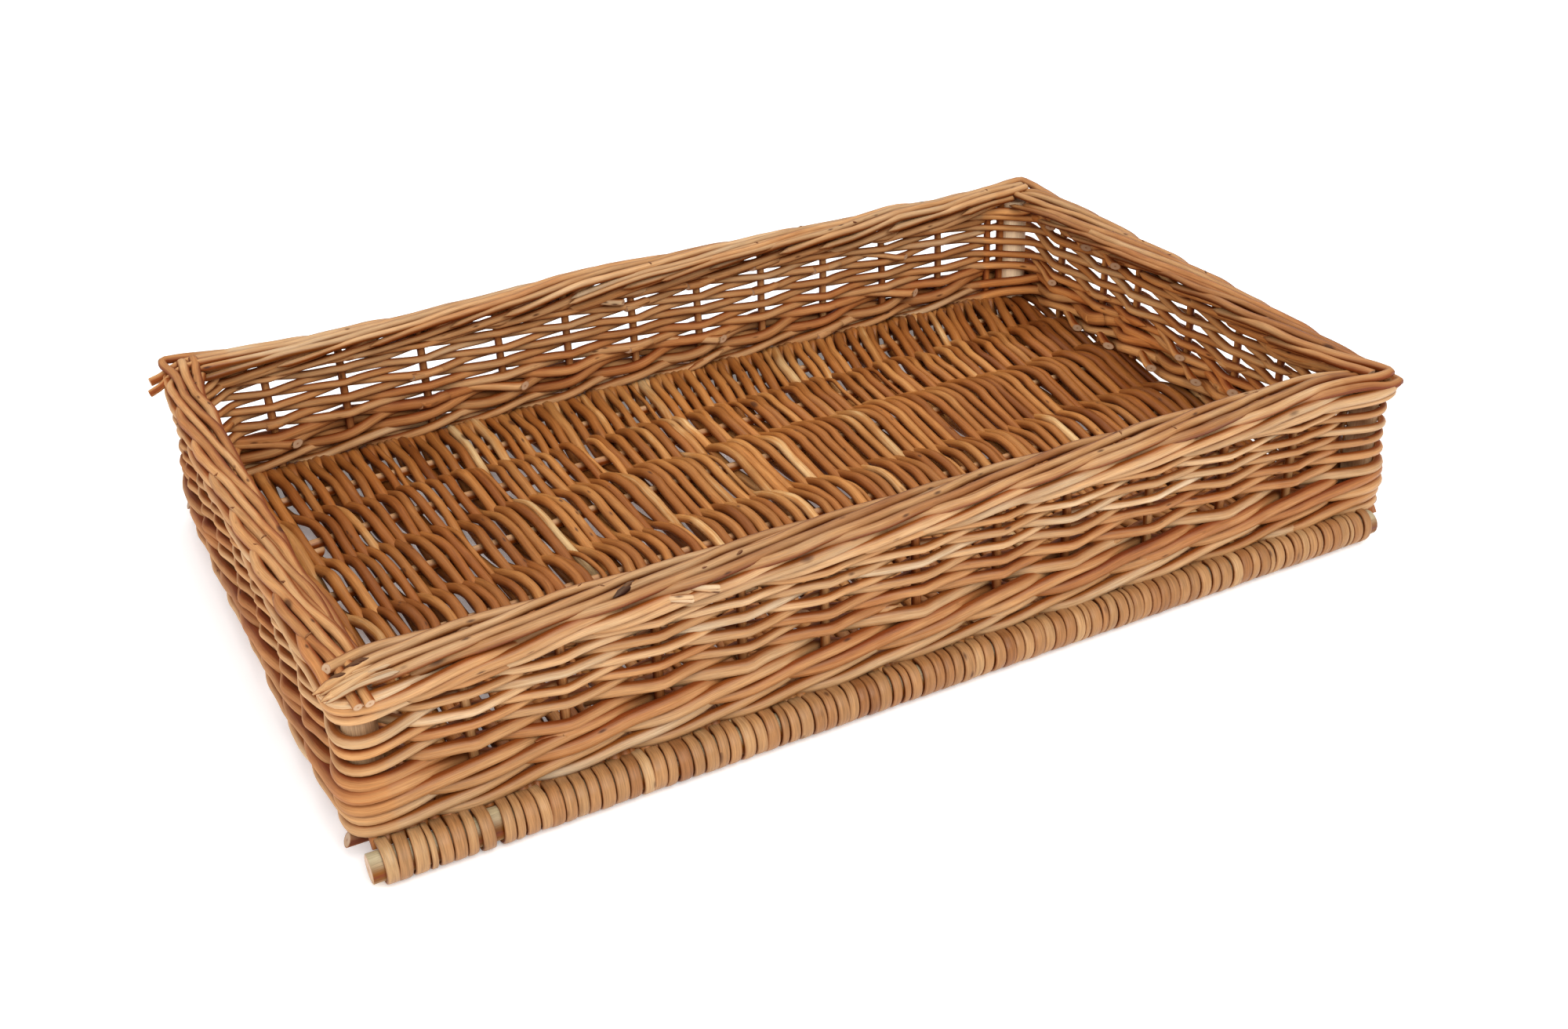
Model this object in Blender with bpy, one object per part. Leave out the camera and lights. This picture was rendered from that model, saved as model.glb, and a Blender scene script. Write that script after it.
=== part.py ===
"""Display basket: a low rectangular tray of woven willow rods.

The base is a mat of rods woven across long sticks and wrapped round a thick
stick along the front and the back edge.  Four walls stand on it, each of
upright stakes with rows of rods woven through them, between two rounds of
stouter wale at the foot and one at the top.  The stakes are bent over at
the top and plaited into the border, and a thick post stands in each corner.

Metres, +Z up, +X along the basket's length.  The origin is on the surface the
basket stands on, under the middle of it.
"""
import bpy
import bmesh
import math

# ------------------------------------------------------------ driving sizes
RIM_LENGTH = 0.600            # over the border, along X
RIM_WIDTH = 0.377             # over the border, along Y
HEIGHT = 0.104                # floor to the top of the border
GAP = 0.0003                  # left between pieces that touch

WALL_LENGTH = 0.597           # over the outside of the siding, along X
WALL_WIDTH = 0.375            # over the outside of the siding, along Y
WALL_THICKNESS = 0.016        # a rod each side of a stake
CROSSING_THICKNESS = 0.007    # where the two rods of a row cross
LONG_BAYS = 12                # spaces between stakes, front and back
SHORT_BAYS = 8                # the same, left and right
STAKE_RADIUS = 0.0025
POST_RADIUS = 0.0080
POST_INSET = 0.0138           # post centre, in from the outside of the siding

EDGE_STICK_LENGTH = 0.591
EDGE_STICK_SPACING = 0.391    # between the axes of the two edge sticks
EDGE_STICK_RADIUS = 0.0060
EDGE_WRAP_RADIUS = 0.0095     # to the outside of the rods wrapped round it
SIDE_STICK_LENGTH = 0.598
SIDE_STICK_SPACING = 0.352
BASE_STICK_LENGTH = 0.588
BASE_STICK_RADIUS = 0.0032
BASE_STICK_ROWS_Y = (-0.155, -0.094, -0.028, 0.045, 0.097, 0.150)
BASE_STICK_Z = 0.0135
BASE_WEAVE_LENGTH = 0.585     # along X
BASE_WEAVE_BANDS = 5
BASE_WEAVE_HALF = 0.0068      # half the thickness of the mat over a stick

FOOT_WALE_BOTTOM = BASE_STICK_Z + BASE_WEAVE_HALF + GAP
FOOT_WALE_ROUNDS = 2
FOOT_WALE_HEIGHT = 0.0087     # of each round
SIDING_ROWS = 5
TOP_WALE_HEIGHT = 0.0083
BORDER_HEIGHT = 0.0105
BORDER_WIDTH = 0.0235

BORDER_BOTTOM = HEIGHT - BORDER_HEIGHT
TOP_WALE_BOTTOM = BORDER_BOTTOM - GAP - TOP_WALE_HEIGHT
SIDING_BOTTOM = FOOT_WALE_BOTTOM + FOOT_WALE_ROUNDS * (FOOT_WALE_HEIGHT + GAP)
SIDING_PITCH = (TOP_WALE_BOTTOM - SIDING_BOTTOM) / SIDING_ROWS

# ------------------------------------------------------------------ colours
COLOURS = {
    "edge_stick": ((0.36, 0.31, 0.22, 1.0), 0.60),
    "base_stick": ((0.45, 0.38, 0.24, 1.0), 0.60),
    "corner_post": ((0.34, 0.29, 0.22, 1.0), 0.65),
    "base_weave": ((0.42, 0.22, 0.09, 1.0), 0.50),
    "siding": ((0.50, 0.28, 0.13, 1.0), 0.45),
    "wale": ((0.52, 0.31, 0.15, 1.0), 0.45),
    "border": ((0.50, 0.29, 0.14, 1.0), 0.45),
}


def clear_scene():
    for ob in list(bpy.data.objects):
        bpy.data.objects.remove(ob, do_unlink=True)


def own_material(name, kind):
    colour, roughness = COLOURS[kind]
    mat = bpy.data.materials.new(name + "_material")
    mat.use_nodes = True
    shader = mat.node_tree.nodes["Principled BSDF"]
    shader.inputs["Base Color"].default_value = colour
    shader.inputs["Roughness"].default_value = roughness
    shader.inputs["Metallic"].default_value = 0.0
    mat.diffuse_color = colour
    return mat


def add_object(name, bm, kind, parent, location=(0, 0, 0), turn=0.0,
               smooth=False):
    bmesh.ops.recalc_face_normals(bm, faces=bm.faces[:])
    mesh = bpy.data.meshes.new(name)
    bm.to_mesh(mesh)
    bm.free()
    if smooth:
        mesh.shade_smooth()
        mesh.set_sharp_from_angle(angle=math.radians(50))
    ob = bpy.data.objects.new(name, mesh)
    bpy.context.scene.collection.objects.link(ob)
    ob.data.materials.append(own_material(name, kind))
    ob.parent = parent
    ob.location = location
    ob.rotation_euler = (0.0, 0.0, turn)
    return ob


def prism(cells, place, low, high):
    """Close the flat cells, lists of (u, v) points that share their corners,
    into one solid from low to high along the third direction."""
    bm = bmesh.new()
    corners = {}

    def micron(point):
        return (math.floor(point[0] * 1e6 + 0.37),
                math.floor(point[1] * 1e6 + 0.37))

    def corner(point, level):
        key = (micron(point), level)
        if key not in corners:
            corners[key] = bm.verts.new(place(point[0], point[1], level))
        return corners[key]

    sides = {}
    for cell in cells:
        bm.faces.new([corner(p, high) for p in cell])
        bm.faces.new([corner(p, low) for p in reversed(cell)])
        for a, b in zip(cell, cell[1:] + cell[:1]):
            key = frozenset([micron(a), micron(b)])
            sides.setdefault(key, []).append((a, b))
    for pair in sides.values():
        if len(pair) == 1:
            a, b = pair[0]
            bm.faces.new([corner(a, low), corner(b, low),
                          corner(b, high), corner(a, high)])
    return bm


def stick(name, length, radius, segments, kind, parent, location):
    """A round stick lying along X."""
    bm = bmesh.new()
    bmesh.ops.create_cone(bm, cap_ends=True, segments=segments,
                          radius1=radius, radius2=radius, depth=length)
    ob = add_object(name, bm, kind, parent, location, smooth=True)
    ob.rotation_euler = (0.0, math.pi / 2, 0.0)
    return ob


# --------------------------------------------------------------------- base
def base_stick_rows():
    """Every stick's y, z and hole half-width, from the front to the back,
    with the half-thickness of the weave round it."""
    edge = (EDGE_WRAP_RADIUS, EDGE_STICK_RADIUS + GAP + 0.0001, EDGE_WRAP_RADIUS)
    inner = (BASE_STICK_Z, BASE_STICK_RADIUS + GAP + 0.0001, BASE_WEAVE_HALF)
    rows = [(-EDGE_STICK_SPACING / 2,) + edge,
            (-SIDE_STICK_SPACING / 2,) + inner]
    for y in BASE_STICK_ROWS_Y:
        rows.append((y,) + inner)
    rows += [(SIDE_STICK_SPACING / 2,) + inner,
             (EDGE_STICK_SPACING / 2,) + edge]
    return rows


def octagon(y, z, half):
    """Eight corners round (y, z), two of the sides upright."""
    r = half / math.cos(math.pi / 8)
    return [(y + r * math.cos(math.radians(22.5 + 45 * k)),
             z + r * math.sin(math.radians(22.5 + 45 * k))) for k in range(8)]


def base_weave_cells():
    """The mat seen along X: a ring round each stick, a web between rings."""
    cells = []
    last = None
    for y, z, hole, half in base_stick_rows():
        outer, inner = octagon(y, z, half), octagon(y, z, hole)
        for k in range(8):
            m = (k + 1) % 8
            cells.append([outer[k], outer[m], inner[m], inner[k]])
        if last is not None:
            cells.append([last[7], outer[4], outer[3], last[0]])
        last = outer
    return cells


def build_base(parent):
    for side, sign in (("front", -1), ("back", 1)):
        stick("base_edge_stick_" + side, EDGE_STICK_LENGTH, EDGE_STICK_RADIUS,
              12, "edge_stick", parent,
              (0, sign * EDGE_STICK_SPACING / 2, EDGE_WRAP_RADIUS))
        stick("base_side_stick_" + side, SIDE_STICK_LENGTH, BASE_STICK_RADIUS,
              8, "base_stick", parent,
              (0, sign * SIDE_STICK_SPACING / 2, BASE_STICK_Z))
    for i, y in enumerate(BASE_STICK_ROWS_Y):
        stick("base_stick_%d" % (i + 1), BASE_STICK_LENGTH, BASE_STICK_RADIUS,
              8, "base_stick", parent, (0, y, BASE_STICK_Z))
    cells = base_weave_cells()
    pitch = BASE_WEAVE_LENGTH / BASE_WEAVE_BANDS
    half = (pitch - GAP) / 2
    for i in range(BASE_WEAVE_BANDS):
        bm = prism(cells, lambda y, z, x: (x, y, z), -half, half)
        add_object("base_weave_%d" % (i + 1), bm, "base_weave", parent,
                   (-BASE_WEAVE_LENGTH / 2 + pitch * (i + 0.5), 0, 0))


# -------------------------------------------------------------------- posts
def build_posts(parent):
    x = WALL_LENGTH / 2 - POST_INSET
    y = WALL_WIDTH / 2 - POST_INSET
    low, high = FOOT_WALE_BOTTOM, BORDER_BOTTOM - GAP
    for name, sx, sy in (("front_left", -1, -1), ("front_right", 1, -1),
                         ("back_right", 1, 1), ("back_left", -1, 1)):
        bm = bmesh.new()
        bmesh.ops.create_cone(bm, cap_ends=True, segments=12,
                              radius1=POST_RADIUS, radius2=POST_RADIUS,
                              depth=high - low)
        add_object("corner_post_" + name, bm, "corner_post", parent,
                   (sx * x, sy * y, (low + high) / 2), smooth=True)


# -------------------------------------------------------------------- walls
# A wall is drawn with s along it and n outwards from the outside of its
# siding, so the stakes stand at n = -WALL_THICKNESS / 2.
def stake_stations(half_length, bays):
    post = half_length - POST_INSET
    pitch = 2 * post / bays
    return [-post + pitch * (i + 1) for i in range(bays - 1)]


def around(centre, radius, degrees):
    a = math.radians(degrees)
    return (centre[0] + radius * math.cos(a), centre[1] + radius * math.sin(a))


def row_cells(half_length, bays, crossing):
    """One woven row seen from above: a closed eye round each stake, and at each
    end a strand outside the post, cut off on the mitre of the corner, and one
    that butts on its inner side."""
    mid = -WALL_THICKNESS / 2
    post = (half_length - POST_INSET, -POST_INSET)
    stations = stake_stations(half_length, bays)
    pitch = 2 * post[0] / bays
    eye_s, eye_n = pitch * 0.28, STAKE_RADIUS + 0.0009
    cells = []
    cut = half_length - pitch / 2 - POST_INSET

    def crossing_points(s):
        return (s, mid + crossing / 2), (s, mid - crossing / 2)

    for i, s in enumerate(stations):
        left_f, left_b = crossing_points(s - pitch / 2)
        right_f, right_b = crossing_points(s + pitch / 2)
        left, right = (s - eye_s, mid), (s + eye_s, mid)
        front, back = (s, 0.0), (s, -WALL_THICKNESS)
        eye_front, eye_back = (s, mid + eye_n), (s, mid - eye_n)
        cells += [[left_f, left, eye_front, front],
                  [front, eye_front, right, right_f],
                  [left_b, back, eye_back, left],
                  [back, right_b, right, eye_back]]
        if i + 1 < len(stations):
            nxt = (s + pitch - eye_s, mid)
            cells.append([right_f, right, right_b, nxt])
    clear = POST_RADIUS + 0.0006
    for sign in (-1, 1):
        def at(point):
            return (sign * point[0], point[1])
        gap = GAP / 2
        edge_f, edge_b = crossing_points(cut)
        eye = (stations[-1] + eye_s, mid)
        tip = (post[0] - 0.0140, mid + 0.0)
        web = [edge_f, tip, edge_b, eye]
        outer = [(edge_f, tip)]
        for angle in (112.5, 90.0, 67.5):
            outer.append((around(post, POST_INSET, angle),
                          around(post, clear, angle)))
        a, b = around(post, POST_INSET, 45.0), around(post, clear, 45.0)
        outer.append(((a[0] - gap, a[1] + gap), (b[0] - gap, b[1] + gap)))
        inner = [(tip, edge_b),
                 ((post[0] - 0.0092, -0.0118), (post[0] - 0.0120, -0.0158))]
        cells.append([at(p) for p in web])
        for strand in (outer, inner):
            for (p, q), (r, t) in zip(strand, strand[1:]):
                cells.append([at(p), at(q), at(t), at(r)])
    return cells


def add_row(name, half_length, bays, crossing, low, high, kind, parent,
            spot):
    cells = row_cells(half_length, bays, crossing)
    bm = prism(cells, lambda s, n, z: (s, n * -1.0, z), low, high)
    return add_object(name, bm, kind, parent, spot[0], spot[1])


def border_mesh(rim_half, proud, stations):
    """The border of one wall: a rounded bar, a little fuller at each stake,
    mitred at both ends."""
    steps = 8
    sections = [None]
    for a, b in zip(stations, stations[1:]):
        sections += [(a, 1.0), ((a + b) / 2, 0.0)]
    sections += [(stations[-1], 1.0), None]
    bm = bmesh.new()
    rings = []
    for i, section in enumerate(sections):
        ring = []
        full = 1.0 if section is None else section[1]
        half_w = BORDER_WIDTH / 2 - 0.0008 * (1.0 - full)
        half_h = BORDER_HEIGHT / 2 - 0.0004 * (1.0 - full)
        scale = 1.0 / math.cos(math.pi / steps)
        for k in range(steps):
            a = 2 * math.pi * (k + 0.5) / steps
            n = proud - BORDER_WIDTH / 2 + half_w * scale * math.cos(a)
            z = BORDER_BOTTOM + BORDER_HEIGHT / 2 + half_h * scale * math.sin(a)
            if section is None:
                reach = rim_half - (proud - n) - GAP
                s = -reach if i == 0 else reach
            else:
                s = section[0]
            ring.append(bm.verts.new((s, -n, z)))
        rings.append(ring)
    for a, b in zip(rings, rings[1:]):
        for k in range(steps):
            m = (k + 1) % steps
            bm.faces.new([a[k], b[k], b[m], a[m]])
    bm.faces.new(rings[0])
    bm.faces.new(list(reversed(rings[-1])))
    return bm


def stakes_mesh(stations):
    """Every upright stake of one wall, from the base up into the border."""
    low, high = FOOT_WALE_BOTTOM, BORDER_BOTTOM + 0.005
    bm = bmesh.new()
    for s in stations:
        made = bmesh.ops.create_cone(bm, cap_ends=True, segments=8,
                                     radius1=STAKE_RADIUS,
                                     radius2=STAKE_RADIUS, depth=high - low)
        bmesh.ops.translate(bm, verts=made["verts"],
                            vec=(s, WALL_THICKNESS / 2, (low + high) / 2))
    return bm


def build_wall(wall, half_length, rim_half, proud, bays, spot, parent):
    stations = stake_stations(half_length, bays)
    border = add_object(wall + "_stakes_and_border",
                        border_mesh(rim_half, proud, stations),
                        "border", parent, spot[0], spot[1], smooth=True)
    stakes = add_object(wall + "_stakes_guide", stakes_mesh(stations),
                        "border", parent, spot[0], spot[1], smooth=True)
    stakes.hide_render = True
    stakes.display_type = "WIRE"
    join = border.modifiers.new("stakes", "BOOLEAN")
    join.operation = "UNION"
    join.solver = "EXACT"
    join.object = stakes

    for i in range(FOOT_WALE_ROUNDS):
        low = FOOT_WALE_BOTTOM + (FOOT_WALE_HEIGHT + GAP) * i
        add_row("%s_foot_wale_%d" % (wall, i + 1), half_length, bays, 0.010,
                low, low + FOOT_WALE_HEIGHT, "wale", parent, spot)
    for i in range(SIDING_ROWS):
        low = SIDING_BOTTOM + SIDING_PITCH * i
        add_row("%s_siding_row_%d" % (wall, i + 1), half_length, bays,
                CROSSING_THICKNESS, low, low + SIDING_PITCH - GAP,
                "siding", parent, spot)
    add_row(wall + "_top_wale", half_length, bays, 0.010,
            TOP_WALE_BOTTOM, TOP_WALE_BOTTOM + TOP_WALE_HEIGHT,
            "wale", parent, spot)


def build_walls(parent):
    hx, hy = WALL_LENGTH / 2, WALL_WIDTH / 2
    long_proud = (RIM_WIDTH - WALL_WIDTH) / 2
    short_proud = (RIM_LENGTH - WALL_LENGTH) / 2
    quarter = math.pi / 2
    build_wall("front", hx, RIM_LENGTH / 2, long_proud, LONG_BAYS,
               ((0, -hy, 0), 0.0), parent)
    build_wall("back", hx, RIM_LENGTH / 2, long_proud, LONG_BAYS,
               ((0, hy, 0), 2 * quarter), parent)
    build_wall("right", hy, RIM_WIDTH / 2, short_proud, SHORT_BAYS,
               ((hx, 0, 0), quarter), parent)
    build_wall("left", hy, RIM_WIDTH / 2, short_proud, SHORT_BAYS,
               ((-hx, 0, 0), -quarter), parent)


def main():
    clear_scene()
    basket = bpy.data.objects.new("display_basket", None)
    bpy.context.scene.collection.objects.link(basket)
    build_base(basket)
    build_posts(basket)
    build_walls(basket)


main()
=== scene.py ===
"""Looks of the woven willow display basket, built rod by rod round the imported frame."""

import math

import bpy
import numpy as np
from mathutils import Matrix, Vector


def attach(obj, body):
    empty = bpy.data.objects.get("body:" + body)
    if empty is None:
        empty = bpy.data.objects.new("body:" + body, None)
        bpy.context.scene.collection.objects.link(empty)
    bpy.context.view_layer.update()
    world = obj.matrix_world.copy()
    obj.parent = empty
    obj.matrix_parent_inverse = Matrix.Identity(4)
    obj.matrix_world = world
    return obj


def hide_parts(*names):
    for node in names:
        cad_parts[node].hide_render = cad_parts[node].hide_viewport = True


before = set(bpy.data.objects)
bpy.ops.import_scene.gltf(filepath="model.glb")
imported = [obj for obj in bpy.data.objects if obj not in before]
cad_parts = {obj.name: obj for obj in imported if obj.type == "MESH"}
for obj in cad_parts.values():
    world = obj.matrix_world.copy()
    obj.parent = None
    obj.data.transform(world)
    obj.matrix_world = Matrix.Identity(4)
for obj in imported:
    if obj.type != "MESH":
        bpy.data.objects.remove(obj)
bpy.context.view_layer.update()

TAU = 2 * math.pi
ROD_SIDES = 10

# ------------------------------------------------------------ sizes, metres
STAKE_R = 0.0025
POST_R = 0.0080
POST_X, POST_Y = 0.2847, 0.1737          # corner post axes
MID_X, MID_Y = 0.2905, 0.1795            # plane of the stakes
SIDE_ROW = 0.176
STICK_Z = 0.0135
STICK_R = 0.0029
EDGE_Y, EDGE_Z = 0.1955, 0.0095
EDGE_R = 0.0071

FRONT_X = (-0.2400, -0.1950, -0.1480, -0.1036, -0.0586, -0.0064, 0.0420,
           0.0848, 0.1386, 0.1880, 0.2364)
BACK_X = (-0.2440, -0.1990, -0.1486, -0.0990, -0.0540, -0.0080, 0.0386,
          0.0857, 0.1330, 0.1800, 0.2260)
RIGHT_Y = (-0.1380, -0.1010, -0.0610, -0.0130, 0.0430, 0.0800, 0.1290)
LEFT_Y = (-0.1300, -0.0880, -0.0445, -0.0010, 0.0440, 0.0860, 0.1290)


# ------------------------------------------------------------------- helpers
def wave(rng, x, span, amp, terms=3):
    """A smooth random function of x, with features about span long."""
    y = np.zeros_like(x, dtype=float)
    for i in range(terms):
        f = (0.55 + 0.9 * rng.random()) * (1 + 0.6 * i) / span
        y += math.sqrt(2.0 / terms) * np.sin(
            TAU * (f * x + rng.random())) * rng.uniform(0.5, 1.0) / (1 + 0.5 * i)
    return amp * y


def unit(v):
    return v / np.maximum(np.linalg.norm(v, axis=-1, keepdims=True), 1e-12)


def resample(dense, step):
    """Rows of dense, whose first three columns are a point, at even steps."""
    d = np.concatenate([[0], np.cumsum(np.linalg.norm(
        np.diff(dense[:, :3], axis=0), axis=1))])
    count = max(3, int(round(d[-1] / step)) + 1)
    t = np.linspace(0, d[-1], count)
    return np.stack([np.interp(t, d, dense[:, k])
                     for k in range(dense.shape[1])], 1)


def cubic(rows, step=0.003, fine=14):
    """A smooth line through the rows, as a springy rod bends between supports."""
    p = np.array(rows, float)
    n = len(p)
    chord = np.linalg.norm(np.diff(p[:, :3], axis=0), axis=1)
    t = np.concatenate([[0], np.cumsum(np.maximum(chord, 1e-6) ** 0.8)])
    h = np.diff(t)
    a = np.zeros((n, n))
    r = np.zeros((n, p.shape[1]))
    a[0, 0] = a[-1, -1] = 1.0
    for i in range(1, n - 1):
        a[i, i - 1], a[i, i], a[i, i + 1] = h[i - 1], 2 * (h[i - 1] + h[i]), h[i]
        r[i] = 6 * ((p[i + 1] - p[i]) / h[i] - (p[i] - p[i - 1]) / h[i - 1])
    m = np.linalg.solve(a, r)
    out = []
    for i in range(n - 1):
        k = fine + 1 if i == n - 2 else fine
        u = (np.arange(k) / fine * h[i])[:, None]
        w = h[i] - u
        out.append(m[i] * w ** 3 / (6 * h[i]) + m[i + 1] * u ** 3 / (6 * h[i])
                   + (p[i] / h[i] - m[i] * h[i] / 6) * w
                   + (p[i + 1] / h[i] - m[i + 1] * h[i] / 6) * u)
    return resample(np.concatenate(out), step)


def catmull(rows, step=0.003, fine=10):
    """A smooth line through the rows that doesn't swing past them."""
    p = np.array(rows, float)
    p = np.concatenate([[2 * p[0] - p[1]], p, [2 * p[-1] - p[-2]]])
    out = []
    for i in range(1, len(p) - 2):
        q = p[i - 1:i + 3]
        t = np.concatenate([[0], np.cumsum(np.maximum(np.linalg.norm(
            np.diff(q[:, :3], axis=0), axis=1), 1e-7) ** 0.5)])
        k = fine + 1 if i == len(p) - 3 else fine
        u = (t[1] + (t[2] - t[1]) * np.arange(k) / fine)[:, None]

        def mix(a, b, ta, tb):
            return a * (tb - u) / (tb - ta) + b * (u - ta) / (tb - ta)
        a1, a2, a3 = (mix(q[j], q[j + 1], t[j], t[j + 1]) for j in range(3))
        b1, b2 = mix(a1, a2, t[0], t[2]), mix(a2, a3, t[1], t[3])
        out.append(mix(b1, b2, t[1], t[2]))
    return resample(np.concatenate(out), step)


# How far the two short walls bow outwards, by y, and how the back rim waves,
# by x.
LEFT_BOW = ((-0.190, -0.165, -0.140, -0.110, -0.060, 0.0, 0.050, 0.130, 0.155,
             0.172, 0.190), (1.0, 2.2, 3.6, 4.8, 5.4, 5.8, 6.5, 6.5, 4.2, 2.2, 1.6))
RIGHT_BOW = ((-0.190, -0.170, -0.150, -0.120, -0.090, -0.050, 0.0, 0.050, 0.100,
              0.140, 0.165, 0.180, 0.190),
             (6.5, 6.3, 5.8, 5.2, 5.8, 6.8, 7.6, 8.2, 8.0, 7.4, 5.6, 3.6, 2.0))
BACK_WAVE = ((-0.287, -0.260, -0.230, -0.150, -0.118, -0.087, -0.055, -0.022,
              0.010, 0.044, 0.113, 0.150, 0.186, 0.224, 0.263, 0.290),
             (1.2, -0.4, -2.4, -2.6, -1.2, -0.6, 2.2, 2.6, 1.2, 0.8, 0.4, -0.8,
              1.6, -0.8, 0.4, 0.0))


def settle(co):
    """The woven shape is never quite square."""
    def ease(v):
        v = np.clip(v, 0, 1)
        return v * v * (3 - 2 * v)
    co = co.copy()
    x, y, z = co[:, 0].copy(), co[:, 1], co[:, 2].copy()
    co[:, 0] -= ease((-x - 0.245) / 0.040) * np.interp(y, *LEFT_BOW) * 1e-3
    co[:, 0] += ease((x - 0.245) / 0.040) * np.interp(y, *RIGHT_BOW) * 1e-3
    co[:, 2] += (ease((y - 0.150) / 0.020) * ease((z - 0.080) / 0.015)
                 * np.interp(x, *BACK_WAVE) * 1e-3)
    # the front right corner leans out and hangs a little
    corner = ease((x - 0.250) / 0.035) * ease((-y - 0.148) / 0.026)
    high = ease((z - 0.078) / 0.014)
    co[:, 0] += corner * (0.0036 + 0.0010 * high)
    co[:, 1] -= corner * high * 0.0030
    co[:, 2] -= corner * high * 0.0020
    return co


class Bundle:
    """The rods of one piece, gathered into one mesh."""

    def __init__(self, sides=ROD_SIDES):
        self.sides = sides
        self.co, self.faces, self.flat = [], [], []
        self.tex, self.tone, self.shade, self.cut = [], [], [], []
        self.groove, self.inner = [], []
        self.count = 0

    def rod(self, line, up, thick, wide=None, tone=0.5, shade=0.5,
            start="cut", end="cut", slant=(0.0, 0.0), rough=0.02, rng=None,
            pale=(0.0, 0.0), box=1.0):
        """One rod along line. thick and wide are its half sizes along up and
        across it; start and end are cut, blunt or point; slant cuts an end
        askew; pale is how bare and light each end is; box under 1 flattens the
        sides."""
        n, m = len(line), self.sides
        rng = rng or np.random.default_rng(self.count + 17)
        thick = np.broadcast_to(np.asarray(thick, float), (n,)).copy()
        wide = thick.copy() if wide is None else np.broadcast_to(
            np.asarray(wide, float), (n,)).copy()
        up = np.broadcast_to(np.asarray(up, float), (n, 3))
        d = np.concatenate([[0], np.cumsum(np.linalg.norm(
            np.diff(line, axis=0), axis=1))])
        if rough:
            thick = thick * (1 + wave(rng, d, 0.045, rough))
            wide = wide * (1 + wave(rng, d, 0.055, rough))
        t = unit(np.gradient(line, axis=0))
        nrm = unit(up - (up * t).sum(1, keepdims=True) * t)
        side = np.cross(t, nrm)
        ang = np.arange(m) / m * TAU
        c, s = np.cos(ang), np.sin(ang)
        if box != 1.0:
            c = np.sign(c) * np.abs(c) ** box
            s = np.sign(s) * np.abs(s) ** box
        rings, along, cuts = [], [], []
        tex_r = []

        def ring(i, scale=1.0, push=0.0, skew=0.0, cut=0.0):
            v = (line[i] + t[i] * push
                 + np.outer(c, nrm[i]) * thick[i] * scale
                 + np.outer(s, side[i]) * wide[i] * scale
                 + np.outer(c * skew * thick[i] * scale, t[i]))
            rings.append(v)
            along.append(d[i] + push)
            cuts.append(cut)
            tex_r.append(scale * (thick[i] + wide[i]) / 2)

        if start == "point":
            ring(0, 0.16, -thick[0] * 3.0, slant[0])
            ring(0, 0.55, -thick[0] * 1.6, slant[0])
        elif start == "cut":
            ring(0, 0.90, -0.00025, slant[0], 1.0)
        ring(0, 1.0, 0.0, slant[0])
        for i in range(1, n - 1):
            ring(i)
        ring(n - 1, 1.0, 0.0, slant[1])
        if end == "point":
            ring(n - 1, 0.55, thick[-1] * 1.6, slant[1])
            ring(n - 1, 0.16, thick[-1] * 3.0, slant[1])
        elif end == "cut":
            ring(n - 1, 0.90, 0.00025, slant[1], 1.0)
        rings = np.array(rings)
        k = len(rings)
        first, last = rings[0].mean(0), rings[-1].mean(0)
        co = np.concatenate([rings.reshape(-1, 3), [first, last]])
        base = self.count
        self.co.append(co)
        j = np.arange(m)
        jn = (j + 1) % m
        for r in range(k - 1):
            a, b = base + r * m, base + (r + 1) * m
            self.faces.append(np.stack([a + j, a + jn, b + jn, b + j], 1))
            self.flat.append(np.zeros(m, bool))
        tip0, tip1 = base + k * m, base + k * m + 1
        a, b = base, base + (k - 1) * m
        self.faces.append(np.stack([a + jn, a + j, np.full(m, tip0),
                                    np.full(m, -1)], 1))
        self.faces.append(np.stack([b + j, b + jn, np.full(m, tip1),
                                    np.full(m, -1)], 1))
        self.flat += [np.full(m, start == "cut"), np.full(m, end == "cut")]
        r = np.array(tex_r)[:, None]
        off = rng.uniform(-5, 5, 3)
        tex = np.zeros((k, m, 3))
        tex[:, :, 0] = c * r + off[0]
        tex[:, :, 1] = s * r + off[1]
        tex[:, :, 2] = np.array(along)[:, None] + off[2]
        ends = np.array([[off[0], off[1], along[0] + off[2]],
                         [off[0], off[1], along[-1] + off[2]]])
        self.tex.append(np.concatenate([tex.reshape(-1, 3), ends]))
        cuts = np.repeat(np.array(cuts), m)
        self.cut.append(np.concatenate([cuts, [2.0 if start == "cut" else 0.0,
                                               2.0 if end == "cut" else 0.0]]))
        tone = np.broadcast_to(np.asarray(tone, float), (n,))
        al = np.array(along)
        tones = np.interp(al, d, tone)
        if pale[0]:
            tones = tones + pale[0] * np.exp(-np.maximum(al, 0) / 0.006)
        if pale[1]:
            tones = tones + pale[1] * np.exp(-np.maximum(d[-1] - al, 0) / 0.006)
        self.tone.append(np.concatenate([np.repeat(tones, m),
                                         tones[[0, -1]]]))
        self.shade.append(np.full(len(co), float(shade)))
        # painted shade on the two flanks of the rod, where it lies against its
        # neighbours; none on the cut ends
        deep = np.abs(np.sin(ang)) ** (3 if box == 1.0 else 7)
        deep = np.tile(deep, k) * (cuts[:k * m] < 0.5)
        self.groove.append(np.concatenate([deep, [0.0, 0.0]]))
        # inner: how far each point faces away from up; it carries the painted warm bounce
        # light
        self.inner.append(np.concatenate([np.tile(np.clip(-c, 0, 1), k),
                                          [0.0, 0.0]]))
        self.count += len(co)

    def make(self, name, material, slot, nodes=()):
        co = np.concatenate(self.co)
        if name.startswith("edge"):
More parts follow.
